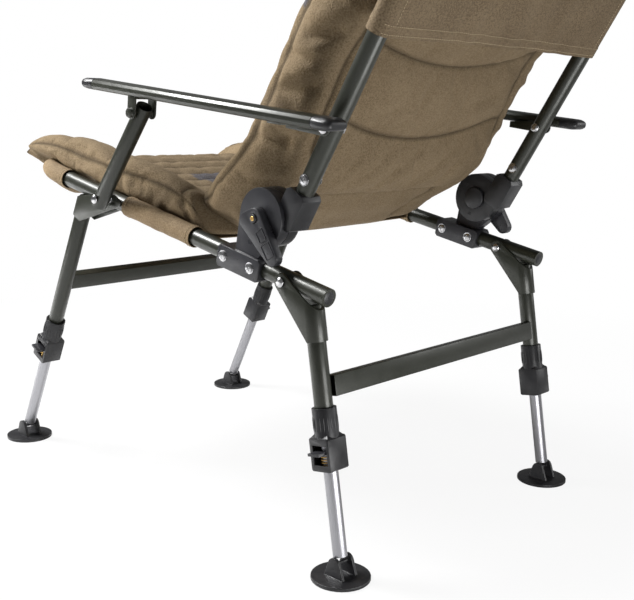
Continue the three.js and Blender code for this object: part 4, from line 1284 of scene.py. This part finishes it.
    def blow_up(self, piece: Piece, pinned: Array) -> None:
        """Lets cloth swell between the seams, no further than the cap."""
        scene, before = bpy.context.scene, self.vectors(piece, "co") / MM
        group = piece.vertex_groups.new(name="sewn")
        for level in range(1, 11):
            chosen = np.nonzero(np.round(pinned * 10) == level)[0]
            if len(chosen):
                group.add(chosen.tolist(), level / 10, "REPLACE")
        cloth = piece.modifiers.new("cloth", "CLOTH").settings
        for key, value in {
                "quality": 4, "mass": 0.3, "tension_stiffness": 14, "compression_stiffness": 14,
                "shear_stiffness": 5, "bending_stiffness": 0.4, "use_pressure": True,
                "uniform_pressure_force": self.pressure, "shrink_min": -0.02,
                "vertex_group_mass": group.name, "pin_stiffness": 1.0}.items():
            setattr(cloth, key, value)
        cloth.effector_weights.gravity = 0
        for step in range(1, self.frames + 1):
            scene.frame_set(step)
        after = self.vectors(evaluated(piece), "co") / MM
        piece.modifiers.clear()
        piece.vertex_groups.clear()
        scene.frame_set(1)
        length = np.linalg.norm(after - before, axis=1, keepdims=True)
        limited = (after - before) * np.minimum(1.0, self.cap / np.maximum(length, 1e-9))
        log.info("%s swelled by %.1f mm at most, %.1f mm kept", self.name, length.max(), self.cap)
        self.move(piece, before + limited)

    def wrinkle(self, piece: Piece, seam: Array, above: Array, across: Array,
                through: Array) -> None:
        """Adds broad folds, and puckers that die away from the seams."""
        points = self.vectors(piece, "co") / MM
        broad = self.folds(points, across, through) * (1 - np.exp(-seam / self.rim_length))
        fine = cloud(points, (self.fine_grain,) * 3, 9.7) * self.fine_height
        pucker = cloud(points, self.pucker_grain, 5.3) * self.pucker_height
        pucker = pucker * np.exp(-above / self.pucker_reach) * (1 - np.exp(-seam / self.pin_width))
        height = broad + fine + pucker
        self.raised(piece, points, height * (1 - 0.9 * self.held(through)))


@dataclass
class SeatCushion(Cushion):
    """Seat half of the mattress, with raised edges and channels across it."""

    bottom_half: float = 227.0
    top_half: float = 236.0
    side_half: float = 245.0
    rim: float = 66.0
    hollow: float = 26.0
    seat: SeatFrame = field(default_factory=SeatFrame)
    channel_runs: tuple[float, ...] = (715.0, 674.0, 632.0, 590.0, 548.0, 506.0, 464.0, 422.0,
                                       380.0, 338.0)
    notches: tuple[int, ...] = (9,)
    small_notches: tuple[int, ...] = (2, 5)
    roll: float = 7.0
    roll_width: float = 20.0
    droop: float = 22.0
    droop_x: tuple[float, float] = (90.0, 200.0)
    droop_runs: tuple[float, float] = (430.0, 620.0)
    sag: float = 4.0
    front_runs: tuple[float, float] = (585.0, 722.5)
    seam_up: float = 0.62
    seam_rise: float = 0.2
    over_levels: tuple[float, float] = (12.0, 24.0)
    over_runs: tuple[float, float] = (380.0, 470.0)
    channel_half: float = 216.0
    runs: Array = field(init=False)
    panel_half: float = 122.0
    panel_front: float = 466.0
    creases: Rows = (
        (300, 14, 334, 46, 5, 6), (372, 10, 338, 44, 4, 6), (452, 12, 472, 44, 4, 7),
        (560, 6, 612, 34, 4, 7), (640, 14, 700, 24, 3, 6), (500, 12, 420, 34, 3, 8))

    def key_table(self) -> tuple[Array, list[float]]:
        """Row seams by their run on the upper face."""
        return table_at(self.rows, SHARES)[:, 2], list(self.channel_runs)

    def drop(self, x: Array, run: Array) -> Array:
        """How far the sling lies below its edges."""
        sag = self.sag * (1 - (x / self.top_half) ** 2)
        return sag + (self.seat.dip_at(x) - sag) * smooth(run, *self.front_runs)

    def place(self, rows: Array, share: Array, across: Array, through: Array) -> Array:
        """Points of the seat's skin."""
        low_run, low_level, high_run, high_level = rows.T
        seam_up = self.seam_up + self.seam_rise * smooth(share, 0.35, 0.95)
        up = np.interp(through, [-1, self.piping, 1], [0, 1, 2])
        up = np.where(up < 1, up * seam_up, seam_up + (up - 1) * (1 - seam_up))
        run = low_run + (high_run - low_run) * up
        level = low_level + (high_level - low_level) * up
        over = smooth(level, *self.over_levels) * smooth(high_run, *self.over_runs)
        half = self.bottom_half + (self.top_half - self.bottom_half) * up
        x = across * (half + (self.side_half - half) * over)
        inward = smooth(self.top_half - np.abs(x), 0.0, self.rim)
        rise = -self.hollow * np.sin(math.pi * share) * inward - self.drop(x, high_run)
        inside = self.top_half - self.roll_width - np.abs(x)
        ridge = np.exp(-(inside / self.roll_width) ** 2) * self.roll
        sunk = self.droop * smooth(-x, *self.droop_x) * smooth(high_run, *self.droop_runs)
        out = (rise + ridge * smooth(share, 0.03, 0.16) - sunk) * np.maximum(through, 0)
        out = out - self.drop(x, low_run) * np.maximum(-through, 0)
        self.runs, self.x = run, x
        return RAIL.at(x, -run, level + out)

    def row_mask(self, seam: int, across: Array, through: Array) -> Array:
        """Channels cross the upper face, and some notch the rolled edge."""
        inner = smooth(through, 0.55, 0.8) * smooth(self.channel_half - np.abs(self.x), 0, 26)
        if seam in self.notches:
            return smooth(through, -0.3, 0.1)
        if seam in self.small_notches:
            return np.maximum(inner, 0.94 * smooth(through, 0.0, 0.2))
        return inner

    def held(self, through: Array) -> Array:
        """The underside rests on the sling."""
        return smooth(-through, 0.75, 0.98)

    def panel(self, through: Array) -> Array:
        """Dark panel in the rear middle of the top."""
        inside = (np.abs(self.x) < self.panel_half) & (through > 0.4)
        return inside & (self.runs < self.panel_front)

    def folds(self, points: Array, across: Array, through: Array) -> Array:
        """Slanted folds on the side panels."""
        side = smooth(np.abs(across), 0.93, 0.99) * smooth(0.5 - through, 0, 0.4)
        along, level = RAIL.measures(points)
        folded = creased(-along, level, self.creases)
        return (cloud(points, (90.0, 45.0, 60.0), 3.1) * 2.0 + folded) * side


@dataclass
class BackCushion(Cushion):
    """Back half of the mattress, with curved seams on its rear."""

    rest: float = 17.0
    rear_halves: tuple[float, float] = (217.0, 232.0)
    front_half: float = 238.0
    narrowing: float = 26.0
    narrow_levels: tuple[float, float] = (20.0, 84.0)
    widening_shares: tuple[float, float] = (0.3, 0.5)
    crown: float = 4.0
    head_crown: float = 3.0
    head_shares: tuple[float, float] = (0.62, 0.8)
    channel_half: float = 228.0
    top_seam: float = 535.0
    levels: Array = field(init=False)
    smiles: tuple[float, ...] = (14.0, 142.0, 256.0, 372.0, 480.0)
    sags: tuple[float, ...] = (3.0, 33.0, 29.0, 26.0, 20.0)
    smile_half: float = 176.0
    border_share: float = 0.84
    border: Rows = ((-76, -26, -2, 26, 93, 143, 245, 600),
                    (120, 138, 156, 176, 202, 204, 200, 196))
    panel_half: float = 168.0
    head_level: float = 252.0
    creases: Rows = (
        (-60, 232, 10, 284, 9, 9), (-88, 142, 14, 208, 9, 9), (-92, 66, 0, 118, 7, 8),
        (-84, 196, -30, 214, 5, 6), (-72, 322, 10, 372, 7, 10), (-84, 6, -8, 44, 6, 8),
        (-90, 106, -40, 116, 4, 6), (-60, 410, 12, 446, 6, 10), (-70, -40, -20, -6, 5, 7),
        (-66, 500, 8, 528, 6, 10))
    rear_creases: Rows = (
        (60, 30, -30, 96, 3.4, 6), (118, 36, 30, 104, 3.4, 6), (-20, 28, -104, 92, 3.2, 6),
        (158, 44, 96, 96, 3.0, 5), (-96, 36, -150, 104, 3.0, 6), (150, 150, 60, 166, 2.4, 7),
        (-60, 160, -150, 196, 2.4, 8), (140, 262, 40, 262, 2.4, 8))

    def key_table(self) -> tuple[Array, list[float]]:
        """Row seams by their level at the ends of the rear's curves, with more on the front."""
        between = [(a + b) / 2 for a, b in zip(self.smiles, self.smiles[1:])]
        return table_at(self.rows, SHARES)[:, 3], sorted([*self.smiles, *between, self.top_seam])

    def ring_keys(self) -> dict[str, float]:
        """Piping near the front edge of both sides, and borders on the rear."""
        border = self.angle_at(self.border_share, math.acos)
        return {**super().ring_keys(), "rear_right": math.pi + border,
                "rear_left": math.tau - border}

    def place(self, rows: Array, share: Array, across: Array, through: Array) -> Array:
        """Points of the back's skin."""
        front, front_level, behind, rear_level = rows.T
        up = (through + 1) / 2
        low, high = self.rear_halves
        rear = low + (high - low) * smooth(share, *self.widening_shares)
        half = rear + (self.front_half - rear) * smooth(up, 0.3, 0.7)
        half = half - self.narrowing * smooth(-front_level, *self.narrow_levels)
        edge, size = np.interp(rear_level, *self.border), np.abs(across)
        inner = size / self.border_share * edge
        outer = edge + (size - self.border_share) / (1 - self.border_share) * (half - edge)
        warped = np.where(size < self.border_share, inner, outer)
        x = np.where(through < 0, warped, size * half) * np.sign(across)
        crown = self.crown * np.sin(math.pi * share)
        crown = crown + self.head_crown * smooth(share, *self.head_shares)
        rise = crown * smooth(1 - share, 0.0, 0.12) * (1 - size ** 3)
        back = np.minimum(behind, self.rest)
        depth = back + (front - back) * up - rise * np.maximum(through, 0)
        level = rear_level + (front_level - rear_level) * up
        sag = np.interp(rear_level, (-60.0, *self.smiles, 560.0), (0.0, *self.sags, 0.0))
        curve = np.maximum(1 - (np.abs(x) / self.smile_half) ** 2, 0)
        level = level - sag * curve * smooth(-through, 0.2, 0.8)
        self.levels, self.x = level, x
        return BACK.at(x, depth, level)

    def row_mask(self, seam: int, across: Array, through: Array) -> Array:
        """Every other seam crosses the rear between its borders, and all cross the front."""
        front = smooth(through, 0.7, 0.95) * smooth(self.channel_half - np.abs(self.x), 0, 16)
        rear = smooth(-through, 0.5, 0.8) * (np.abs(across) <= self.border_share + 0.005)
        return np.maximum(front, rear * float(seam % 2 == 0 and seam < 2 * len(self.smiles)))

    def panel(self, through: Array) -> Array:
        """Dark panel down the middle of the front, and across its head."""
        inside = (np.abs(self.x) < self.panel_half) & (through > 0.5)
        return inside | ((through > self.piping) & (self.levels > self.head_level))

    def folds(self, points: Array, across: Array, through: Array) -> Array:
        """Broad slanted folds on the sides, and soft ones low on the rear."""
        depth, level = BACK.measures(points)
        side = smooth(np.abs(across), 0.93, 0.985) * smooth(0.9 - np.abs(through), 0, 0.3)
        soft = cloud(points, (200.0, 60.0, 45.0), 2.7) * 4.0
        behind = creased(points[:, 0], level, self.rear_creases) * smooth(-through, 0.7, 1.0)
        return (soft + creased(depth, level, self.creases)) * side + behind


@dataclass
class Mattress:
    """The two cushions of the mattress, by rows of lower and upper, or front and rear, places."""

    seat_rows: Rows = (
        (770, 1, 772, 8), (760, 7, 761, 17), (748, 17, 738, 29), (712, 19, 703, 45),
        (660, 17, 655, 57), (615, 9, 610, 63), (575, -1.7, 560, 66), (520, -1.7, 520, 66),
        (464, -1.7, 464, 64), (410, -1.7, 410, 61), (355, -1.7, 370, 57), (300, -1.7, 335, 50),
        (258, -1.7, 310, 40))
    back_rows: Rows = (
        (-184, -84, -82, -101), (-162, -60, -66, -76), (-142, -28, -58, -48),
        (-128, 12, -36, -7), (-118, 60, -10, 50), (-113, 110, -11, 104), (-112, 165, -16, 160),
        (-112, 230, -18, 226), (-110, 290, -4, 288), (-104, 350, 12, 348), (-98, 410, 20, 408),
        (-95, 460, 20, 458), (-92, 515, 20, 513), (-84, 565, 12, 565), (-60, 592, -12, 592))

    def build(self) -> None:
        """Builds both cushions."""
        seat = SeatCushion("seat_mattress", "seat_pad", self.seat_rows)
        back = BackCushion("back_mattress", "back_pad", self.back_rows, thick=48.0, pillow=5.4,
                           rise_length=7.0, fall_length=34.0, piping=0.55, cap=8.0)
        lower, upper = seat.build(), back.build()
        for piece, axis, anchor in (
                (lower, RAIL.direction(0, 1), RAIL.at(0.0, -500.0, 0.0)),
                (upper, BACK.direction(1, 0), BACK.at(0.0, 17.0, 250.0))):
            tuple(axis)
            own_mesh(piece)


@dataclass
class Sling:
    """Cloth sling with sleeves round the rails and the front bar."""

    frame: SeatFrame = field(default_factory=SeatFrame)
    cloth: float = 1.2
    level: float = -2.0
    half: float = 236.0
    neck_half: float = 221.0
    middle_runs: tuple[float, float] = (268.0, 431.0)
    front_start: float = 600.0
    sleeve_radius: float = 14.9
    sleeve_sides: int = 36
    sleeve_gap: float = 0.35
    hem: float = 9.0
    hem_lift: float = 0.6
    lump_grain: Triple = (24.0, 14.0, 24.0)
    lump_height: float = 0.9
    lump_start: float = 14.0
    ripple_grain: Triple = (90.0, 24.0, 50.0)
    ripple_height: float = 0.8

    def build(self, workshop: Workshop) -> None:
        """Makes the sheet, its sleeves and their stitches."""
        runs = -np.linspace(*self.middle_runs, 40)
        paths = {f"sleeve_{side.word}": RAIL.at(side.value * self.frame.half, runs, 0.0)
                 for side in Side}
        paths["front_sleeve"] = self.frame.path(self.front_start, 22)
        pieces = [self.sheet(), *(self.sleeve(*item) for item in paths.items())]
        sling = join_pieces("sling", pieces)
        thicken(sling, self.cloth)
        SLING_CLOTH.dress(shade(stand_in(sling, "seat_sling"), 60))
        stitches = workshop.sew("sling_stitches", "seat", self.hem_lines())

    def reach(self, run: Array) -> Array:
        """Half width of the sheet."""
        tube, end = self.frame, self.middle_runs[1]
        past = np.maximum(run - (tube.length - tube.corner), 0)
        bend = tube.half - tube.corner + np.sqrt(tube.corner ** 2 - past ** 2)
        neck = smooth(run, end - 4, end + 10)
        neck = neck * (1 - smooth(run, self.front_start - 10, self.front_start + 4))
        return np.minimum(bend - (tube.half - self.half),
                          self.half - (self.half - self.neck_half) * neck)

    def sheet(self) -> Piece:
        """Sheet between the rails, sagging a little and following the front bar."""
        runs = np.linspace(self.middle_runs[0], self.frame.length - 12.5, 64)
        x = np.outer(self.reach(runs), np.linspace(-1, 1, 60))
        run = np.repeat(runs[:, None], x.shape[1], 1)
        drop = SeatCushion("", "", ()).drop(x, run)
        points = RAIL.at(x, -run, self.level - 1.2 - drop).reshape(-1, 3)
        points[:, 2] -= np.abs(cloud(points, self.ripple_grain, 2.2) * self.ripple_height)
        return new_piece("sling_sheet", points, ring_faces(*x.shape, closed=False))

    def sleeve(self, name: str, path: Array) -> Piece:
        """Open sleeve round a path with thicker hems and small folds."""
        length = np.cumsum(np.linalg.norm(np.diff(path, axis=0, prepend=path[:1]), axis=1))
        from_end = np.minimum(length, length[-1] - length)
        flat, rings = circle(1.0, self.sleeve_sides), []
        for (point, first, second), gap in zip(carried(path, RAIL.direction(0, 1)), from_end):
            around = np.outer(flat[:, 0], first) + np.outer(flat[:, 1], second)
            ring = point + around * (self.sleeve_radius - self.cloth)
            lump = cloud(ring, self.lump_grain, 6.4) * self.lump_height
            lump = lump * min(gap / self.lump_start, 1.0) + self.hem_lift * float(gap < self.hem)
            rings.append(ring + around * (lump + self.sleeve_gap)[:, None])
        return new_piece(name, np.concatenate(rings), ring_faces(len(path), self.sleeve_sides))

    def hem_lines(self) -> list[Array]:
        """Stitch lines round the ends of the sleeves."""
        ring = circle(self.sleeve_radius + 1.2, 59)
        x, level = np.concatenate([ring, ring[:1]]).T
        return [RAIL.at(side.value * self.frame.half + x, -(run + sign * (self.hem - 2.0)), level)
                for side in Side for run, sign in zip((*self.middle_runs, self.front_start),
                                                      (1, -1, 1))]


def join_pieces(name: str, pieces: Sequence[Piece]) -> Piece:
    """Joins meshes into one object and removes the originals."""
    bm = bmesh.new()
    for piece in pieces:
        bm.from_mesh(piece.data)
        bpy.data.objects.remove(piece)
    mesh = bpy.data.meshes.new(name)
    bm.to_mesh(mesh)
    bm.free()
    return linked(name, mesh)


@dataclass
class Hood:
    """Cloth pocket pulled down over the top of the back tube."""

    offset: float = 32.5
    half: float = 255.2
    top: float = 680.2
    corner: float = 90.2
    reach: float = 15.2
    hem: float = 288.0
    hem_height: float = 18.0
    cloth: float = 1.2
    side_seam: float = 22.0
    near: tuple[float, ...] = (0, 0.5, 1.8, 4, 7, 11, 15.2)
    slack: float = 4.0
    fold_height: float = 3.2
    fold_grain: Triple = (34.0, 60.0, 210.0)
    hem_lift: float = 0.7

    def edge_gap(self, x: Array, level: Array) -> Array:
        """Distance of a point from the pocket's flat outline."""
        gap = np.minimum(self.half - np.abs(x), self.top - level)
        dx, dz = np.abs(x) - (self.half - self.corner), level - (self.top - self.corner)
        in_corner = (dx > 0) & (dz > 0)
        return np.maximum(np.where(in_corner, self.corner - np.hypot(dx, dz), gap), 0)

    def half_at(self, level: Array) -> Array:
        """Half width of the pocket at a height."""
        past = np.clip(level - (self.top - self.corner), 0, self.corner)
        return self.half - self.corner + np.sqrt(np.maximum(self.corner ** 2 - past ** 2, 0))

    def skin(self, x: Array, level: Array, face: float, lift: float = 0.0) -> Array:
        """Points of one face of the pocket or above it, face 1 being the rear."""
        share = np.clip(self.edge_gap(x, level) / self.reach, 0, 1)
        thick = self.reach * np.sqrt(1 - (1 - share) ** 2)
        inner = smooth(self.half - np.abs(x), 24.0, 150.0) * smooth(self.top - level, 30.0, 130.0)
        flat = np.stack([x.ravel(), np.zeros(x.size), level.ravel()], 1)
        folds = cloud(flat, self.fold_grain, 8.8 + face).reshape(x.shape)
        slack = (self.slack + self.fold_height * folds) * inner * float(face > 0)
        doubled = self.hem_lift * smooth(self.hem + self.hem_height - level, 0.0, 1.5)
        out = thick - slack + doubled - self.cloth + lift
        return BACK.at(x, self.offset + face * out, level)

    def build(self, workshop: Workshop) -> None:
        """Makes the pocket and its seams."""
        near, width = np.array(self.near), 2 * self.half
        levels = np.concatenate([np.linspace(self.hem, self.top - 18, 78), self.top - near[::-1]])
        inward = np.concatenate([near, np.linspace(22, width - 22, 92), width - near[::-1]])
        x = np.outer(self.half_at(levels), 1 - 2 * inward / width)
        level = np.repeat(levels[:, None], x.shape[1], 1)
        rear, front = self.skin(x, level, 1.0), self.skin(x, level, -1.0)
        ring = np.concatenate([rear, front[:, ::-1][:, 1:-1]], axis=1)
        piece = new_piece("hood", ring, ring_faces(*ring.shape[:2]))
        face_out(piece, 2 * TOUCH)
        self.check_outward(piece)
        thicken(piece, self.cloth)
        HOOD_CLOTH.dress(shade(stand_in(piece, "back_cover"), 50))
        stitches = workshop.sew("hood_stitches", "backrest", self.seam_lines(), thread=0.5)

    def check_outward(self, piece: Piece) -> None:
        """Makes sure that the open pocket's faces point outwards."""
        middle = Vector(BACK.at(0.0, self.offset, (self.hem + self.top) / 2) * MM)
        if sum((face.center - middle).dot(face.normal) * face.area
               for face in piece.data.polygons) < 0:
            piece.data.flip_normals()

    def seam_lines(self) -> list[Array]:
        """Double row along the hem and one row up each side of the rear."""
        lift = self.cloth + 0.15
        x = np.linspace(-self.half + 6, self.half - 6, 120)
        lines = [self.skin(x, np.full_like(x, self.hem + row), face, lift)
                 for row in (4.0, self.hem_height - 3.0) for face in (1.0, -1.0)]
        level = np.linspace(self.hem + self.hem_height, self.top - self.corner, 90)
        for side in Side:
            x = np.full_like(level, side.value * (self.half - self.side_seam))
            lines.append(self.skin(x, level, 1.0, lift))
        return lines


@dataclass
class Studio:
    """Camera at the photograph's angle, soft lamps and a pale sweep."""

    eye: Triple = (1.1312, 1.0781, 0.6040)
    yaw: float = 133.60
    pitch: float = 11.113
    roll: float = 0.904
    focal: float = 55.08
    sensor: float = 36.0
    reach: float = 6000.0
    floor_level: float = -0.4

    def build(self) -> None:
        """Sets camera, floor, lamps and world."""
        self.camera()
        self.floor()
        self.world()
        self.lamp("key", (1.0, -1.5, 2.4), (0.0, -0.2, 0.5), 0.9, 136.0)
        self.lamp("fill", (1.6, -2.4, 0.7), (0.2, -0.5, 0.4), 0.8, 98.0, mirrored=False)
        self.lamp("rim", (-2.0, 1.7, 1.0), (0.0, 0.0, 0.6), 0.9, 14.0)
        self.lamp("low", (0.15, 0.9, 0.08), (0.0, 0.25, 0.4), 0.5, 7.5)
        bpy.context.scene.view_settings.view_transform = "Standard"

    def camera(self) -> None:
        """Camera fitted to the photograph."""
        yaw, pitch, roll = (math.radians(v) for v in (self.yaw, self.pitch, self.roll))
        ahead = Vector((-math.sin(yaw) * math.cos(pitch), math.cos(yaw) * math.cos(pitch),
                        -math.sin(pitch)))
        right = Vector((math.cos(yaw), math.sin(yaw), 0))
        up = right.cross(ahead)
        level = right * math.cos(roll) + up * math.sin(roll)
        rise = up * math.cos(roll) - right * math.sin(roll)
        data = bpy.data.cameras.new("camera")
        data.sensor_fit, data.sensor_width, data.lens = "HORIZONTAL", self.sensor, self.focal
        camera = linked("camera", data)
        turn = Matrix((level, rise, -ahead)).transposed().to_4x4()
        camera.matrix_world = Matrix.Translation(self.eye) @ turn
        bpy.context.scene.camera = camera

    def floor(self) -> None:
        """Pale floor that shows white to the camera and keeps the chair's shadow."""
        corners = [(x * self.reach, y * self.reach, self.floor_level)
                   for x, y in ((-1, -1), (1, -1), (1, 1), (-1, 1))]
        piece = new_piece("floor", np.array(corners), [(0, 1, 2, 3)])
        material = bpy.data.materials.new("pale_floor")
        material.use_nodes = True
        graph = Graph(material.node_tree)
        matte = graph.result("ShaderNodeBsdfDiffuse", Color=(0.7, 0.7, 0.7, 1))
        glow = graph.result("ShaderNodeEmission", Color=(1, 1, 1, 1), Strength=1.0)
        where = graph.add("ShaderNodeTexCoord").outputs["Object"]
        away = graph.add("ShaderNodeVectorMath", {"operation": "LENGTH"}, s0=where)
        fading = graph.result("ShaderNodeMapRange", Value=away.outputs["Value"], From_Min=0.7,
                              From_Max=1.7, To_Min=0.9, To_Max=1.0)
        share = graph.math("MULTIPLY", self.seen(graph), fading)
        graph.mix_shaders("ShaderNodeOutputMaterial", share, matte, glow)
        piece.data.materials.append(material)
        piece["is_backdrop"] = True

    @staticmethod
    def seen(graph: Graph) -> Socket:
        """1 for rays from the camera and through glass."""
        path = graph.add("ShaderNodeLightPath").outputs
        return graph.math("MAXIMUM", path["Is Camera Ray"], path["Is Transmission Ray"])

    def world(self) -> None:
        """White surroundings to the camera, softer light on the chair."""
        world = bpy.context.scene.world = bpy.data.worlds.new("studio")
        world.use_nodes = True
        graph = Graph(world.node_tree)
        light, white = (graph.result("ShaderNodeBackground", Color=(1, 1, 1, 1), Strength=strength)
                        for strength in (0.18, 1.0))
        graph.mix_shaders("ShaderNodeOutputWorld", self.seen(graph), light, white)

    @staticmethod
    def lamp(name: str, place: Sequence[float], target: Sequence[float], size: float,
             watts: float, mirrored: bool = True) -> None:
        """Square soft lamp aimed at a point, and seen in shiny surfaces if mirrored."""
        data = bpy.data.lights.new(name, "AREA")
        data.size, data.energy = size, watts
        lamp = linked(name, data)
        aim = Vector(target) - Vector(place)
        lamp.rotation_euler = aim.to_track_quat("-Z", "Y").to_euler()
        lamp.location = place
        lamp.visible_camera, lamp.visible_glossy = False, mirrored


def main() -> None:
    """Builds the chair piece by piece."""
    logging.basicConfig(level=logging.INFO, format="%(name)s: %(message)s")
    Studio().build()
    workshop = Workshop()
    SeatFrame().build()
    BackFrame().build(workshop)
    for side in Side:
        Recliner(side).build(workshop)
        build_armrest(side)
    LegPair(Axle.FRONT, FRONT_LEG, FRONT_ALLOY, 159.0, 340.0).build(workshop)
    LegPair(Axle.REAR, REAR_LEG, REAR_ALLOY, 125.0, 298.0).build(workshop)
    Sling().build(workshop)
    Hood().build(workshop)
    Mattress().build()
    sizes = {"cad": CAD_BOUNDS, "dressed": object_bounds()}
    ({key: [list(map(float, corner)) for corner in box]
               for key, box in sizes.items()})


if __name__ == "__main__":
    main()
